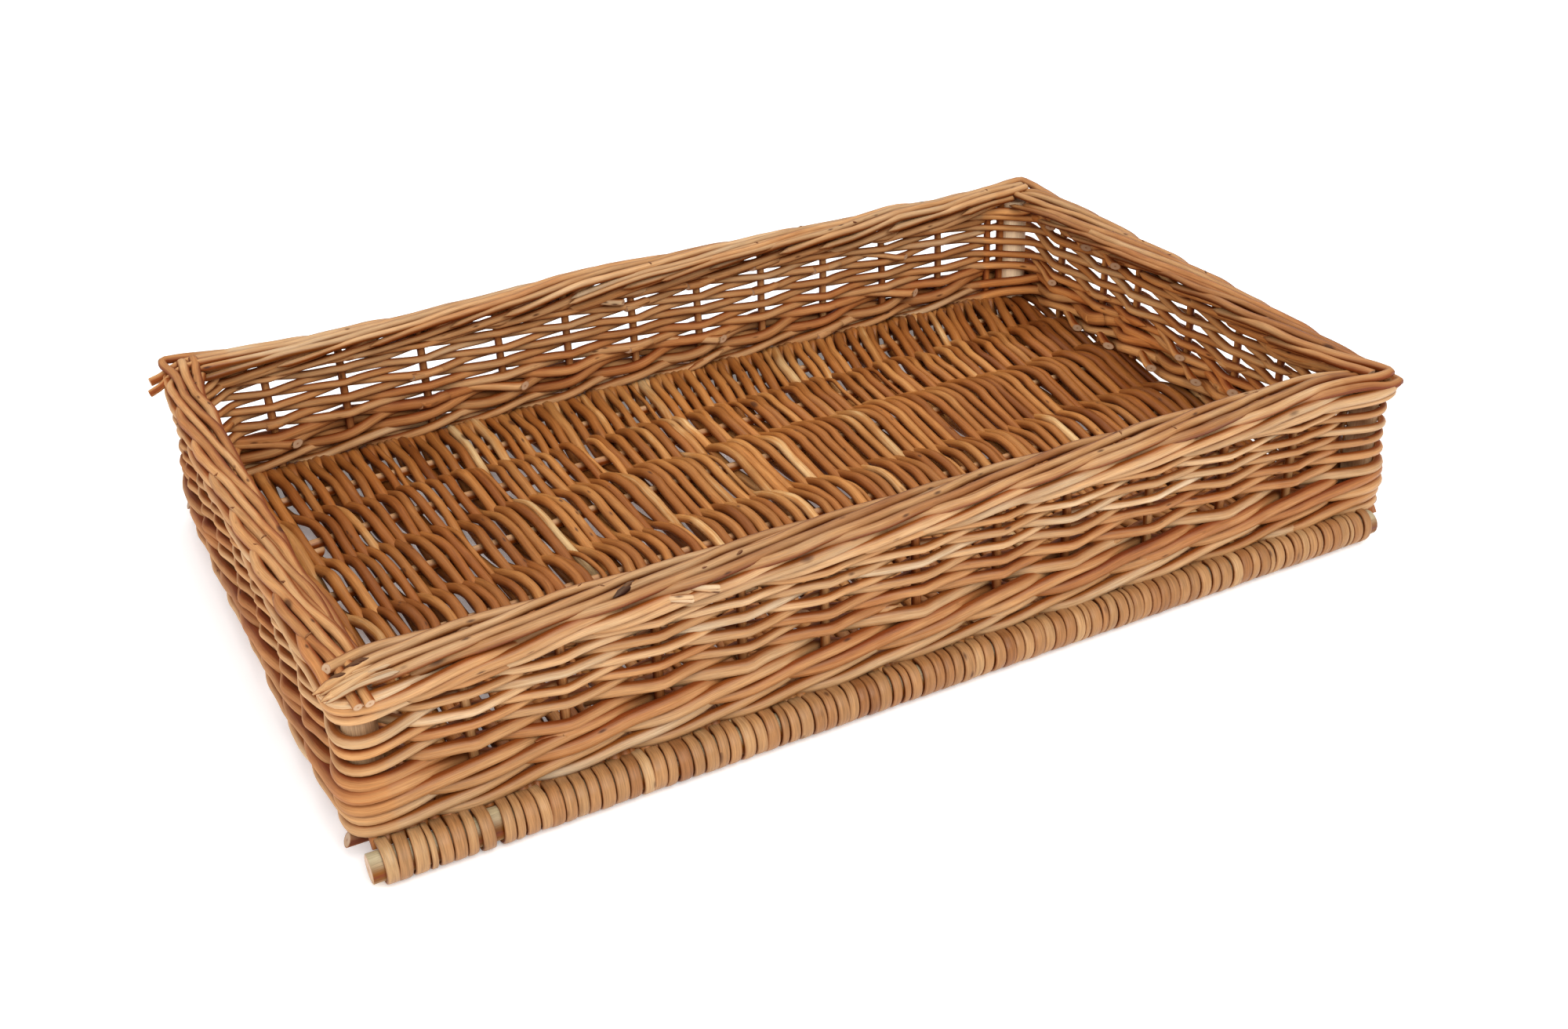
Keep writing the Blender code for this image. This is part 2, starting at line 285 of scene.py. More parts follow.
            # the front edge stick isn't quite square to the rest either
            co[:, 1] += np.where(co[:, 1] < 0, (co[:, 0] + 0.25) * 0.0095, 0)
        else:
            co = settle(co)
        co = co.astype(np.float32)
        faces = np.concatenate(self.faces)
        flat = np.concatenate(self.flat)
        tri = faces[:, 3] < 0
        total = np.where(tri, 3, 4)
        start = np.concatenate([[0], np.cumsum(total)[:-1]])
        index = faces.ravel()
        index = index[index >= 0]
        me = bpy.data.meshes.new(name)
        me.vertices.add(len(co))
        me.vertices.foreach_set("co", co.ravel())
        me.loops.add(len(index))
        me.loops.foreach_set("vertex_index", index.astype(np.int32))
        me.polygons.add(len(faces))
        me.polygons.foreach_set("loop_start", start.astype(np.int32))
        me.polygons.foreach_set("use_smooth", ~flat)
        me.update(calc_edges=True)
        # painted warm bounce light, carried by the inner attribute: the walls at either
        # end get more of it and look a little browner than the long ones; the posts get
        # none, and the border and the back wall get less
        inner = np.concatenate(self.inner)
        if not name.startswith(("edge", "floor", "base")):
            inner = np.where(co[:, 0] > 0.262, inner * 1.9, inner)
            inner = np.where(co[:, 0] < -0.280, np.maximum(inner, 0.30), inner)
        if name.startswith("corner"):
            inner = inner * 0
        if name == "border":
            inner = np.minimum(inner, 0.3)
        inner = np.where((co[:, 1] > 0.150) & (np.abs(co[:, 0]) < 0.262),
                         inner * 0.6, inner)
        self.inner = [inner]
        for key, kind, data in (("tex", "FLOAT_VECTOR", self.tex),
                                ("tone", "FLOAT", self.tone),
                                ("shade", "FLOAT", self.shade),
                                ("cut", "FLOAT", self.cut),
                                ("groove", "FLOAT", self.groove),
                                ("inner", "FLOAT", self.inner)):
            at = me.attributes.new(key, kind, "POINT")
            at.data.foreach_set("vector" if kind == "FLOAT_VECTOR" else "value",
                                np.concatenate(data).astype(np.float32).ravel())
        me.validate()
        me.materials.append(material)
        ob = bpy.data.objects.new(name, me)
        bpy.context.scene.collection.objects.link(ob)
        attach(ob, "root")
        if nodes:
            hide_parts(*nodes)
        return ob


# ----------------------------------------------------------------- materials
class Nodes:
    def __init__(self, name):
        self.mat = bpy.data.materials.new(name)
        self.mat.use_nodes = True
        self.tree = self.mat.node_tree
        self.bsdf = self.tree.nodes["Principled BSDF"]

    def node(self, kind, **values):
        nd = self.tree.nodes.new(kind)
        for k, v in values.items():
            setattr(nd, k, v)
        return nd

    def put(self, socket, value):
        if isinstance(value, bpy.types.NodeSocket):
            self.tree.links.new(value, socket)
        else:
            socket.default_value = value

    def attr(self, name):
        nd = self.node("ShaderNodeAttribute", attribute_name=name)
        return nd.outputs["Vector" if name == "tex" else "Fac"]

    def math(self, op, a, b=0.0, c=0.0, clamp=False):
        nd = self.node("ShaderNodeMath", operation=op, use_clamp=clamp)
        for i, v in enumerate((a, b, c)):
            self.put(nd.inputs[i], v)
        return nd.outputs[0]

    def scale(self, vec, xyz):
        nd = self.node("ShaderNodeVectorMath", operation="MULTIPLY")
        self.put(nd.inputs[0], vec)
        self.put(nd.inputs[1], xyz)
        return nd.outputs[0]

    def noise(self, vec, scale, detail=2.0, rough=0.5):
        nd = self.node("ShaderNodeTexNoise")
        self.put(nd.inputs["Vector"], vec)
        self.put(nd.inputs["Scale"], scale)
        self.put(nd.inputs["Detail"], detail)
        self.put(nd.inputs["Roughness"], rough)
        return nd.outputs["Fac"]

    def cells(self, vec, scale):
        nd = self.node("ShaderNodeTexVoronoi")
        self.put(nd.inputs["Vector"], vec)
        self.put(nd.inputs["Scale"], scale)
        return nd

    def fit(self, value, a, b, lo, hi):
        nd = self.node("ShaderNodeMapRange")
        for i, v in enumerate((value, a, b, lo, hi)):
            self.put(nd.inputs[i], v)
        return nd.outputs[0]

    def ramp(self, fac, stops):
        nd = self.node("ShaderNodeValToRGB")
        el = nd.color_ramp.elements
        while len(el) > 1:
            el.remove(el[-1])
        el[0].position, el[0].color = stops[0][0], (*stops[0][1], 1)
        for pos, col in stops[1:]:
            e = el.new(pos)
            e.color = (*col, 1)
        self.put(nd.inputs[0], fac)
        return nd.outputs["Color"]

    def mix(self, fac, a, b, kind="MIX"):
        nd = self.node("ShaderNodeMix", data_type="RGBA", blend_type=kind)
        self.put(nd.inputs[0], fac)
        self.put(nd.inputs[6], a)
        self.put(nd.inputs[7], b)
        return nd.outputs[2]


def srgb(r, g, b):
    def lin(c):
        c /= 255.0
        return c / 12.92 if c <= 0.04045 else ((c + 0.055) / 1.055) ** 2.4
    return lin(r), lin(g), lin(b)


def willow(name, stops, specks=0.5, streak=0.25, gloss=0.42, dirt=0.35,
           bump=0.35, groove=0.86):
    """Peeled willow: each rod its own tone, fine lengthwise grain, soft
    mottling, bud scars and small dark specks, pale cut ends, browner
    flanks of painted shade where it presses against the next rod, and
    painted warm bounce light on the side turned from the lamps."""
    n = Nodes(name)
    tex, tone, cut = n.attr("tex"), n.attr("tone"), n.attr("cut")
    shade = n.attr("shade")
    mottle = n.noise(n.scale(tex, (1.0, 1.0, 0.30)), 95.0, 3.0, 0.55)
    blotch = n.noise(n.scale(tex, (1.0, 1.0, 0.5)), 22.0, 2.0)
    grain = n.noise(n.scale(tex, (1.0, 1.0, 0.035)), 2400.0, 3.0, 0.6)
    fibre = n.noise(n.scale(tex, (1.0, 1.0, 0.02)), 900.0, 2.0, 0.5)
    level = n.math("ADD", tone, n.math("MULTIPLY", n.math(
        "SUBTRACT", mottle, 0.5), 0.54))
    level = n.math("ADD", level, n.math("MULTIPLY", n.math(
        "SUBTRACT", blotch, 0.5), 0.48))
    level = n.math("ADD", level, n.math("MULTIPLY", n.math(
        "SUBTRACT", fibre, 0.5), 0.30))
    colour = n.ramp(level, stops)
    # fine grain
    lines = n.fit(grain, 0.34, 0.66, 1.0 - streak, 1.0 + 0.35 * streak)
    both = n.node("ShaderNodeCombineXYZ")
    for i in range(3):
        n.put(both.inputs[i], lines)
    colour = n.mix(1.0, colour, both.outputs[0], "MULTIPLY")
    # small dark specks and bud scars
    cell = n.cells(n.scale(tex, (1.0, 1.0, 0.32)), 210.0)
    near = n.fit(cell.outputs["Distance"], 0.07, 0.20, 1.0, 0.0)
    pick = n.node("ShaderNodeSeparateColor")
    n.put(pick.inputs[0], cell.outputs["Color"])
    some = n.fit(pick.outputs[0], 0.90 - 0.16 * specks, 0.93 - 0.16 * specks,
                 0.0, 1.0)
    speck = n.math("MULTIPLY", near, some)
    scar = n.cells(n.scale(tex, (1.0, 1.0, 0.42)), 75.0)
    scar_near = n.fit(scar.outputs["Distance"], 0.08, 0.17, 1.0, 0.0)
    scar_pick = n.node("ShaderNodeSeparateColor")
    n.put(scar_pick.inputs[0], scar.outputs["Color"])
    scar_some = n.fit(scar_pick.outputs[1], 0.93 - 0.10 * specks,
                      0.95 - 0.10 * specks, 0.0, 1.0)
    scars = n.math("MULTIPLY", scar_near, scar_some)
    dark = n.math("MULTIPLY", n.math("MAXIMUM", speck, scars), 0.86)
    colour = n.mix(dark, colour, (*srgb(78, 46, 26), 1))
    # worn or grubby patches
    worn = n.noise(n.scale(tex, (1.0, 1.0, 0.22)), 48.0, 4.0, 0.65)
    patch = n.math("MULTIPLY", n.fit(worn, 0.60, 0.74, 0.0, 1.0), dirt)
    colour = n.mix(patch, colour, (*srgb(150, 98, 58), 1))
    # painted shade on the flanks, where each rod presses against the next; it takes more
    # green and blue than red, so it is browner
    flank = n.node("ShaderNodeCombineXYZ")
    deep = n.math("MULTIPLY", n.attr("groove"), groove)
    for i, k in enumerate((0.74, 1.08, 1.28)):
        n.put(flank.inputs[i], n.math("SUBTRACT", 1.0, n.math(
            "MULTIPLY", deep, k)))
    colour = n.mix(1.0, colour, flank.outputs[0], "MULTIPLY")
    # the side turned from the lamps gets a painted warm bounce light, so it is warmer
    painted_bounce = n.node("ShaderNodeCombineXYZ")
    for i, k in enumerate((0.27, 0.13, -0.07)):
        n.put(painted_bounce.inputs[i], n.math("ADD", 1.0, n.math(
            "MULTIPLY", n.attr("inner"), k)))
    colour = n.mix(1.0, colour, painted_bounce.outputs[0], "MULTIPLY")
    # cut ends: pale wood with a darker pith and rim
    end = n.ramp(n.math("MULTIPLY", cut, 0.5), [
        (0.0, srgb(180, 138, 100)), (0.50, srgb(168, 126, 92)),
        (0.60, srgb(190, 158, 128)), (0.86, srgb(186, 152, 120)),
        (0.95, srgb(150, 104, 72))])
    colour = n.mix(n.fit(cut, 0.35, 0.8, 0.0, 1.0), colour, end)
    value = n.math("ADD", n.fit(shade, -1.0, 0.0, 0.16, 0.86),
                   n.fit(shade, 0.0, 1.0, 0.0, 0.24))
    vv = n.node("ShaderNodeCombineXYZ")
    for i in range(3):
        n.put(vv.inputs[i], value)
    colour = n.mix(1.0, colour, vv.outputs[0], "MULTIPLY")
    n.put(n.bsdf.inputs["Base Color"], colour)
    sheen = n.fit(mottle, 0.3, 0.7, gloss - 0.07, gloss + 0.10)
    sheen = n.math("ADD", sheen, n.math("MULTIPLY", dark, 0.2))
    # on that same side, turned from the lamps, the gloss falls off
    sheen = n.math("ADD", sheen, n.fit(n.attr("inner"), 0.0, 0.30, 0.0, 0.30))
    n.put(n.bsdf.inputs["Roughness"], sheen)
    n.bsdf.inputs["Specular IOR Level"].default_value = 0.22
    hump = n.math("ADD", n.math("MULTIPLY", grain, 0.35),
                  n.math("MULTIPLY", mottle, 1.2))
    hump = n.math("SUBTRACT", hump, n.math("MULTIPLY", dark, 0.5))
    b = n.node("ShaderNodeBump")
    n.put(b.inputs["Strength"], bump)
    n.put(b.inputs["Distance"], 0.0006)
    n.put(b.inputs["Height"], hump)
    n.put(n.bsdf.inputs["Normal"], b.outputs[0])
    return n.mat


OUTER = [(0.0, srgb(130, 74, 34)), (0.28, srgb(159, 105, 59)),
         (0.52, srgb(178, 132, 85)), (0.78, srgb(187, 151, 110)),
         (1.0, srgb(198, 175, 144))]
INNER = [(0.0, srgb(116, 60, 20)), (0.30, srgb(142, 84, 36)),
         (0.58, srgb(162, 103, 49)), (0.82, srgb(182, 127, 70)),
         (1.0, srgb(208, 174, 124))]
WRAP = [(0.0, srgb(116, 70, 36)), (0.35, srgb(144, 98, 58)),
        (0.65, srgb(161, 119, 77)), (0.88, srgb(176, 140, 98)),
        (1.0, srgb(194, 170, 136))]

MAT = {
    "border": willow("willow_border", OUTER, specks=0.7),
    "siding": willow("willow_siding", OUTER, specks=0.45),
    "wale": willow("willow_wale", OUTER, specks=0.35),
    "base_weave": willow("willow_floor", INNER, specks=0.35, dirt=0.5,
                         groove=0.50),
    "wrap": willow("willow_wrap", WRAP, specks=0.45, dirt=0.4, streak=0.32,
                   groove=0.84),
    "base_stick": willow("willow_base_stick", [
        (0.0, srgb(138, 92, 56)), (0.5, srgb(176, 130, 88)),
        (1.0, srgb(200, 162, 120))], specks=0.3),
    "edge_stick": willow("willow_edge_stick", [
        (0.0, srgb(116, 98, 72)), (0.5, srgb(168, 152, 118)),
        (1.0, srgb(200, 188, 158))], specks=0.6, dirt=0.5),
    # the very pale top stop of this ramp serves the painted light of the back right post
    "corner_post": willow("willow_post", [
        (0.0, srgb(122, 90, 60)), (0.5, srgb(176, 142, 106)),
        (1.0, srgb(250, 224, 186))], specks=0.4, gloss=0.55, dirt=0.35,
        groove=0.45),
}


# -------------------------------------------------------------- wall layout
# The ring of uprights, counter-clockwise from the back left post.  Each wall
# runs along its "along" direction and faces "out".
WALLS = (
    ("left", (0, -1), (-1, 0), [-y for y in reversed(LEFT_Y)]),
    ("front", (1, 0), (0, -1), list(FRONT_X)),
    ("right", (0, 1), (1, 0), list(RIGHT_Y)),
    ("back", (-1, 0), (0, 1), [-x for x in reversed(BACK_X)]),
)


def wall_xy(wall, s, n=0.0):
    name, along, out, _ = WALLS[wall]
    mid = MID_Y if name in ("front", "back") else MID_X
    return np.array([along[0] * s + out[0] * (mid + n),
                     along[1] * s + out[1] * (mid + n)])


PLACES = []            # kind, wall before, wall after, s, point, outward
for w, (name, along, out, stations) in enumerate(WALLS):
    corner = np.array([-np.array(along) * (POST_X if name in ("front", "back")
                                           else POST_Y)]).ravel()
    corner = corner + np.array(out) * (POST_Y if name in ("front", "back")
                                       else POST_X)
    diag = np.array(corner) / np.abs(corner) * math.sqrt(0.5)
    PLACES.append(dict(post=True, wall=w, s=None, xy=corner, out=diag))
    for s in stations:
        PLACES.append(dict(post=False, wall=w, s=s, xy=wall_xy(w, s),
                           out=np.array(out, float)))
COUNT = len(PLACES)
assert COUNT == 40


def post_s(wall):
    return POST_X if WALLS[wall][0] in ("front", "back") else POST_Y


def bay_middle(i):
    """Wall and distance along it of the middle of the bay after place i."""
    a, b = PLACES[i % COUNT], PLACES[(i + 1) % COUNT]
    wall = a["wall"]
    sa = -post_s(wall) if a["post"] else a["s"]
    sb = post_s(wall) if b["post"] else b["s"]
    return wall, (sa + sb) / 2, sb - sa


def turned(v, degrees):
    a = math.radians(degrees)
    return np.array([v[0] * math.cos(a) - v[1] * math.sin(a),
                     v[0] * math.sin(a) + v[1] * math.cos(a)])


def control(i, side, r, z0, z1, z2=None, n_extra=0.0):
    """Control rows (x, y, z, outward x, outward y, place) of a rod of radius r
    as it passes place i outside (side 1) or inside (side -1).  z0 is its height
    there; at a post, z0 and z1 are its heights before and after."""
    p = PLACES[i % COUNT]
    if not p["post"]:
        q = p["xy"] + p["out"] * side * (STAKE_R + r + n_extra)
        return [[q[0], q[1], z0, *p["out"], i]]
    if side > 0:
        rows = []
        for k, deg in enumerate((-42, 0, 42)):
            o = turned(p["out"], deg)
            q = p["xy"] + o * (POST_R + r + n_extra)
            rows.append([q[0], q[1], z0 + (z1 - z0) * k / 2, *o,
                         i + (k - 1) * 0.08])
        return rows
    rows = []
    for k, along in enumerate((-0.0075, 0.0075)):
        t = turned(p["out"], 90)
        q = p["xy"] - p["out"] * (POST_R + r + n_extra) + t * along
        rows.append([q[0], q[1], z0 + (z1 - z0) * k, *p["out"],
                     i + (k - 0.5) * 0.16])
    return rows


def middle(i, n, z, at=0.5):
    wall, s, length = bay_middle(i)
    s = s + (at - 0.5) * length
    q = wall_xy(wall, s, n)
    return [q[0], q[1], z, *WALLS[wall][2], i + at]


# --------------------------------------------------------- rods round a wall
def lay_rods(bundle, rows, radius, breaks, seed, tones, lap=0.20):
    """Cuts a closed line of control rows into single rods at breaks, given in
    places along it.  Rods meet butt to butt and tip to tip in turn."""
    rng = np.random.default_rng(seed)
    period = rows[-1][5] - rows[0][5]
    line = cubic(rows)
    marks = sorted(breaks)
    marks = marks + [marks[0] + period]
    long = np.concatenate([line[:-1], line + np.array([0, 0, 0, 0, 0, period])])
    for k, (a, b) in enumerate(zip(marks, marks[1:])):
        keep = (long[:, 5] >= a - lap) & (long[:, 5] <= b + lap)
        part = long[keep]
        n = len(part)
        d = np.arange(n) * 0.003
        butt_first = k % 2 == 0
        taper = np.linspace(1.12, 0.86, n)
        if not butt_first:
            taper = taper[::-1]
        r = radius * taper * rng.uniform(0.95, 1.05)
        r = r * np.interp(np.mod(part[:, 5], COUNT),
                          (0, 4, 7, 8, 9, 14, 20, 21, 27, 28, 34, 40),
                          (0.90, 0.97, 1.0, 1.10, 1.02, 1.0, 1.0, 1.14, 1.14,
                           0.97, 0.92, 0.90))
        up = np.concatenate([part[:, 3:5], np.zeros((n, 1))], 1)
        pts = part[:, :3].copy()
        pts[:, 2] += wave(rng, d, 0.11, 0.0005)
        pts += up * wave(rng, d, 0.07, 0.00025)[:, None]
        # the ends slip behind the row, one over the other
        near = (np.clip(1 - d / 0.020, 0, 1) ** 2,
                np.clip(1 - (d[-1] - d) / 0.020, 0, 1) ** 2)
        pts -= unit(up) * ((near[0] + near[1]) * 0.0014)[:, None]
        pts[:, 2] += near[0] * 0.0009 - near[1] * 0.0009
        tone = tones[0] + (tones[1] - tones[0]) * rng.random()
        tone = tone + wave(rng, d, 0.45, 0.09) + np.interp(
            np.mod(part[:, 5], COUNT), (0, 1, 7, 8.5, 20, 22, 27, 28, 39, 40),
            (-0.02, -0.04, -0.02, 0.0, 0.0, 0.08, 0.08, 0.0, 0.0, -0.02))
        bundle.rod(pts, up, r, r * rng.uniform(0.97, 1.06), tone=tone,
                   shade=rng.random(), rng=rng,
                   start="cut" if butt_first else "point",
                   end="point" if butt_first else "cut",
                   slant=(rng.uniform(0.4, 1.2), rng.uniform(0.4, 1.2)))


# Heights of the ten single rods of the siding, lowest first, and their sizes.
ROD_Z = {"front": (44.0, 49.9, 55.0, 59.4, 63.5, 67.6, 71.5, 75.4, 79.2, 83.2),
         "right": (39.8, 43.8, 48.0, 52.4, 57.2, 62.2, 67.2, 72.2, 77.0, 81.8),
         "left": (42.6, 48.0, 53.0, 57.6, 62.2, 66.6, 70.8, 75.0, 79.2, 83.2),
         "back": (43.2, 48.0, 52.9, 57.9, 63.0, 68.0, 73.0, 77.6, 81.6, 84.8)}
ROD_R = (3.45, 3.00, 2.75, 2.62, 2.55, 2.50, 2.48, 2.45, 2.42, 2.40)
CORNER_Z = {0: 45.7, 2: 53.6, 4: 61.4, 6: 68.6, 8: 80.0}     # front left


def by_wall(table, i):
    """The value for place i; a post takes the mean of its two walls."""
    p = PLACES[i % COUNT]
    names = [WALLS[p["wall"]][0]]
    if p["post"]:
        names.append(WALLS[(p["wall"] - 1) % 4][0])
    return sum(table[n if n in table else "back"] for n in names) / len(names)


def siding_rods(name, index, nodes):
    """Two single rods, one above the other.  Each passes outside one upright
    and inside the next, keeping its own height."""
    bundle = Bundle()
    for rod in (0, 1):
        level = 2 * index + rod
        rng = np.random.default_rng(900 + level)
        r = ROD_R[level] * 1e-3
        table = {k: v[level] * 1e-3 for k, v in ROD_Z.items()}
        z_at = np.array([by_wall(table, i) for i in range(COUNT)])
        if level in CORNER_Z:
            z_at[8] = CORNER_Z[level] * 1e-3
        z_mid = (z_at + np.roll(z_at, -1)) / 2
        z_mid += rng.uniform(-1, 1, COUNT) * 0.0003
        z_at = z_at + rng.uniform(-1, 1, COUNT) * 0.0009
        rows = []
        for i in range(-1, COUNT + 2):
            side = 1 if (i + rod) % 2 == 0 else -1
            z = z_at[i % COUNT]
            rows += control(i, side, r, z, z, n_extra=-0.0001)
            bend = rng.uniform(0.74, 0.92) * (STAKE_R + r)
            if not PLACES[i % COUNT]["post"]:
                rows.append(middle(i, side * bend, z, 0.095))
            rows.append(middle(i, 0.0, z_mid[i % COUNT]))
            if not PLACES[(i + 1) % COUNT]["post"]:
                rows.append(middle(i, -side * bend, z_at[(i + 1) % COUNT],
                                   0.905))
        rows = [q for q in rows if -0.001 <= q[5] <= COUNT + 0.001]
        if abs(rows[-1][5] - rows[0][5] - COUNT) > 1e-6:
            rows.append([*rows[0][:5], rows[0][5] + COUNT])
        first = int(rng.integers(2, 7)) * 2 + (1 - rod)
        steps = rng.integers(6, 8, 3) * 2
        breaks = [first, first + int(steps[0]), first + int(steps[0] + steps[1])]
        low, high = (0.32, 0.68) if level < 5 else (0.48, 0.80)
        lay_rods(bundle, rows, r, breaks, 1000 + level, (low, high))
    return bundle.make(name, MAT["siding"], "siding", nodes)


def wale(name, index, z_out, z_in, r, lift, nodes, tones, breaks, corner=None,
         dive=0.8):
    """A wale: three rods, each outside two uprights and inside the third."""
    rng = np.random.default_rng(700 + index)
    z_at = rng.uniform(-1, 1, COUNT) * 0.0006
    if corner is not None:
        z_at[8] += corner
        z_at[[7, 9]] += corner * 0.5
    bundle = Bundle()
    rows = []
    for i in range(0, 3 * COUNT + 1):
        u = (i + index) % 3
        dz = z_at[i % COUNT]
        turn = PLACES[i % COUNT]["post"]
        side = -1 if u == 2 else 1
        z = (z_in if u == 2 else z_out) + dz
        step = {0: -0.5, 1: 0.5, 2: 0.0}[u] * lift
        rise = (0.10 * lift if side > 0 else -0.2 * lift) if turn else 0.0
        rows += control(i, side, r, z + step - rise, z + step + rise,
                        n_extra=-0.0001)
        if i < 3 * COUNT:
            if u == 0:
                rows.append(middle(i, STAKE_R + r + 0.0003, z_out + dz))
            elif u == 1:
                rows.append(middle(i, 0.0008, (z_out + z_in) / 2 + dz
                                   + lift * dive, 0.56))
            else:
                rows.append(middle(i, 0.0002, (z_out + z_in) / 2 + dz
                                   - lift * dive, 0.44))
    rows = [q for q in rows if -0.001 <= q[5] <= 3 * COUNT + 0.001]
    if abs(rows[-1][5] - rows[0][5] - 3 * COUNT) > 1e-6:
        rows.append([*rows[0][:5], rows[0][5] + 3 * COUNT])
    lay_rods(bundle, rows, r, breaks, 2000 + index, tones)
    return bundle.make(name, MAT["wale"], "wale", nodes)


def four(part):
    return ["%s_%s" % (w, part) for w in ("front", "back", "left", "right")]


for k in range(5):
    siding_rods("siding_row_%d" % (k + 1), k, four("siding_row_%d" % (k + 1)))
wale("foot_wale_1", 1, 0.0222, 0.0268, 0.0031, 0.0070, four("foot_wale_1"),
     (0.48, 0.78), [2, 15, 31, 46, 59, 73, 88, 104], dive=0.5)
wale("foot_wale_2", 2, 0.0350, 0.0346, 0.0036, 0.0074, four("foot_wale_2"),
     (0.26, 0.56), [6, 21, 37, 50, 66, 80, 97, 109], corner=0.0004, dive=0.5)
wale("top_wale", 3, 0.0925, 0.0880, 0.0029, 0.0046, four("top_wale"),
     (0.38, 0.76), [11, 26, 39, 54, 69, 83, 98, 112], corner=-0.0052)


# ------------------------------------------------------- stakes and posts
def build_stakes():
    bundle = Bundle()
    rng = np.random.default_rng(55)
    for i, p in enumerate(PLACES):
        if p["post"]:
            continue
        z = np.linspace(0.016, 0.0975, 26)
        q = np.zeros((len(z), 3))
        q[:, 0], q[:, 1], q[:, 2] = p["xy"][0], p["xy"][1], z
        t = turned(p["out"], 90)
        lean = rng.uniform(-1, 1) * 0.0010
        q[:, :2] += np.outer((z - 0.05) / 0.05 * lean, t)
        q[:, :2] += np.outer(wave(rng, z, 0.05, 0.0003), p["out"])
        bundle.rod(q, (*p["out"], 0), np.linspace(0.0027, 0.0024, len(z)),
                   tone=rng.uniform(0.1, 0.6), shade=rng.random(), rng=rng)
    z = np.linspace(0.016, 0.0940, 20)
    q = np.zeros((len(z), 3))
    for x, y, r in ((0.2655, MID_Y, 0.0023), (0.2735, 0.1770, 0.0026)):
        q = q.copy()
        q[:, 0], q[:, 1], q[:, 2] = x, y, z
        bundle.rod(q, (0, 1, 0), r, tone=0.2, shade=0.4, rng=rng)
    return bundle.make("stakes", MAT["border"], "border",
                       four("stakes_and_border"))


def build_posts():
    bundle = Bundle(24)
    rng = np.random.default_rng(56)
    for i, p in enumerate(PLACES):
        if not p["post"]:
            continue
        z = np.linspace(0.0206, 0.0880 if i in (0, 8) else 0.0930, 26)
        q = np.zeros((len(z), 3))
        q[:, 0], q[:, 1], q[:, 2] = p["xy"][0], p["xy"][1], z
        if i == 28:
            q[:, 0] -= 0.0025
        # the back right post gets painted light: top tone and full value, so it reads
        # bright though it stands in the shade of its corner
        bundle.rod(q, (*p["out"], 0), POST_R * np.linspace(1.0, 0.97, len(z)),
                   tone=0.95 if i == 28 else rng.uniform(0.35, 0.60),
                   shade=1.0 if i == 28 else 0.3, rng=rng, rough=0.012)
    return bundle.make("corner_posts", MAT["corner_post"], "corner_post",
                       ["corner_post_front_left", "corner_post_front_right",
                        "corner_post_back_right", "corner_post_back_left"])


build_stakes()
build_posts()


# ------------------------------------------------------------------- border
# Each stake bends over to the right, lies along the rim, crosses it from the
# outside to the inside and ends below it.  Some have a thinner rod beside them.
HALF = (MID_Y, MID_X, MID_Y, MID_X)       # half lengths of the four walls
STEP = 0.0470
FRONT_LEFT = 1


def border_profile(u):
    """Offset outwards and height of a border rod, u bays after its stake."""
    key_u = [-0.45, -0.2, 0.0, 0.2, 0.4, 0.6, 1.0, 1.5, 2.0, 2.5, 2.8, 3.1,
             3.4, 3.8, 4.2, 4.6, 5.1]
    key_n = [-0.3, 0.2, 1.5, 3.6, 4.9, 5.0, 2.6, -0.3, -3.2, -6.8, -9.9,
             -12.4, -13.6, -13.9, -13.7, -13.1, -12.2]
    key_z = [91.5, 94.0, 96.2, 98.2, 99.4, 100.0, 100.7, 101.3, 101.7, 101.9,
             101.9, 101.6, 101.2, 100.3, 98.0, 94.8, 91.2]
    return (np.interp(u, key_u, key_n) * 1e-3,
            np.interp(u, key_u, key_z) * 1e-3)


def rim_rows(rng, wall, s0, a, b, beside, enter=None, leave=None):
    """Rows of a border rod whose stake is at s0, over s from a to b."""
    s = np.linspace(a, b, max(4, int((b - a) / 0.006)))
    n, z = border_profile((s - s0) / STEP)
    if wall == 0:
        n = np.where(n < 0, n * 0.72, n)
    n = n + wave(rng, s, 0.10, 0.00045)
    z = z + wave(rng, s, 0.10, 0.00022)
    if beside:
        n, z = n - 0.0028, z - 0.0012
    if enter is not None:
        near = np.exp(-((s - a) / 0.013) ** 2)
        n, z = n + near * (enter[0] - n[0]), z + near * (enter[1] - z[0])
    if leave is not None:
        near = np.exp(-((b - s) / 0.013) ** 2)
        n, z = n + near * (leave[0] - n[-1]), z + near * (leave[1] - z[-1])
    n = np.minimum(n, 0.0064)
    rows = []
    for k in range(len(s)):
        q = wall_xy(wall, s[k], n[k])
        rows.append([q[0], q[1], z[k], *WALLS[wall][2]])
    return rows


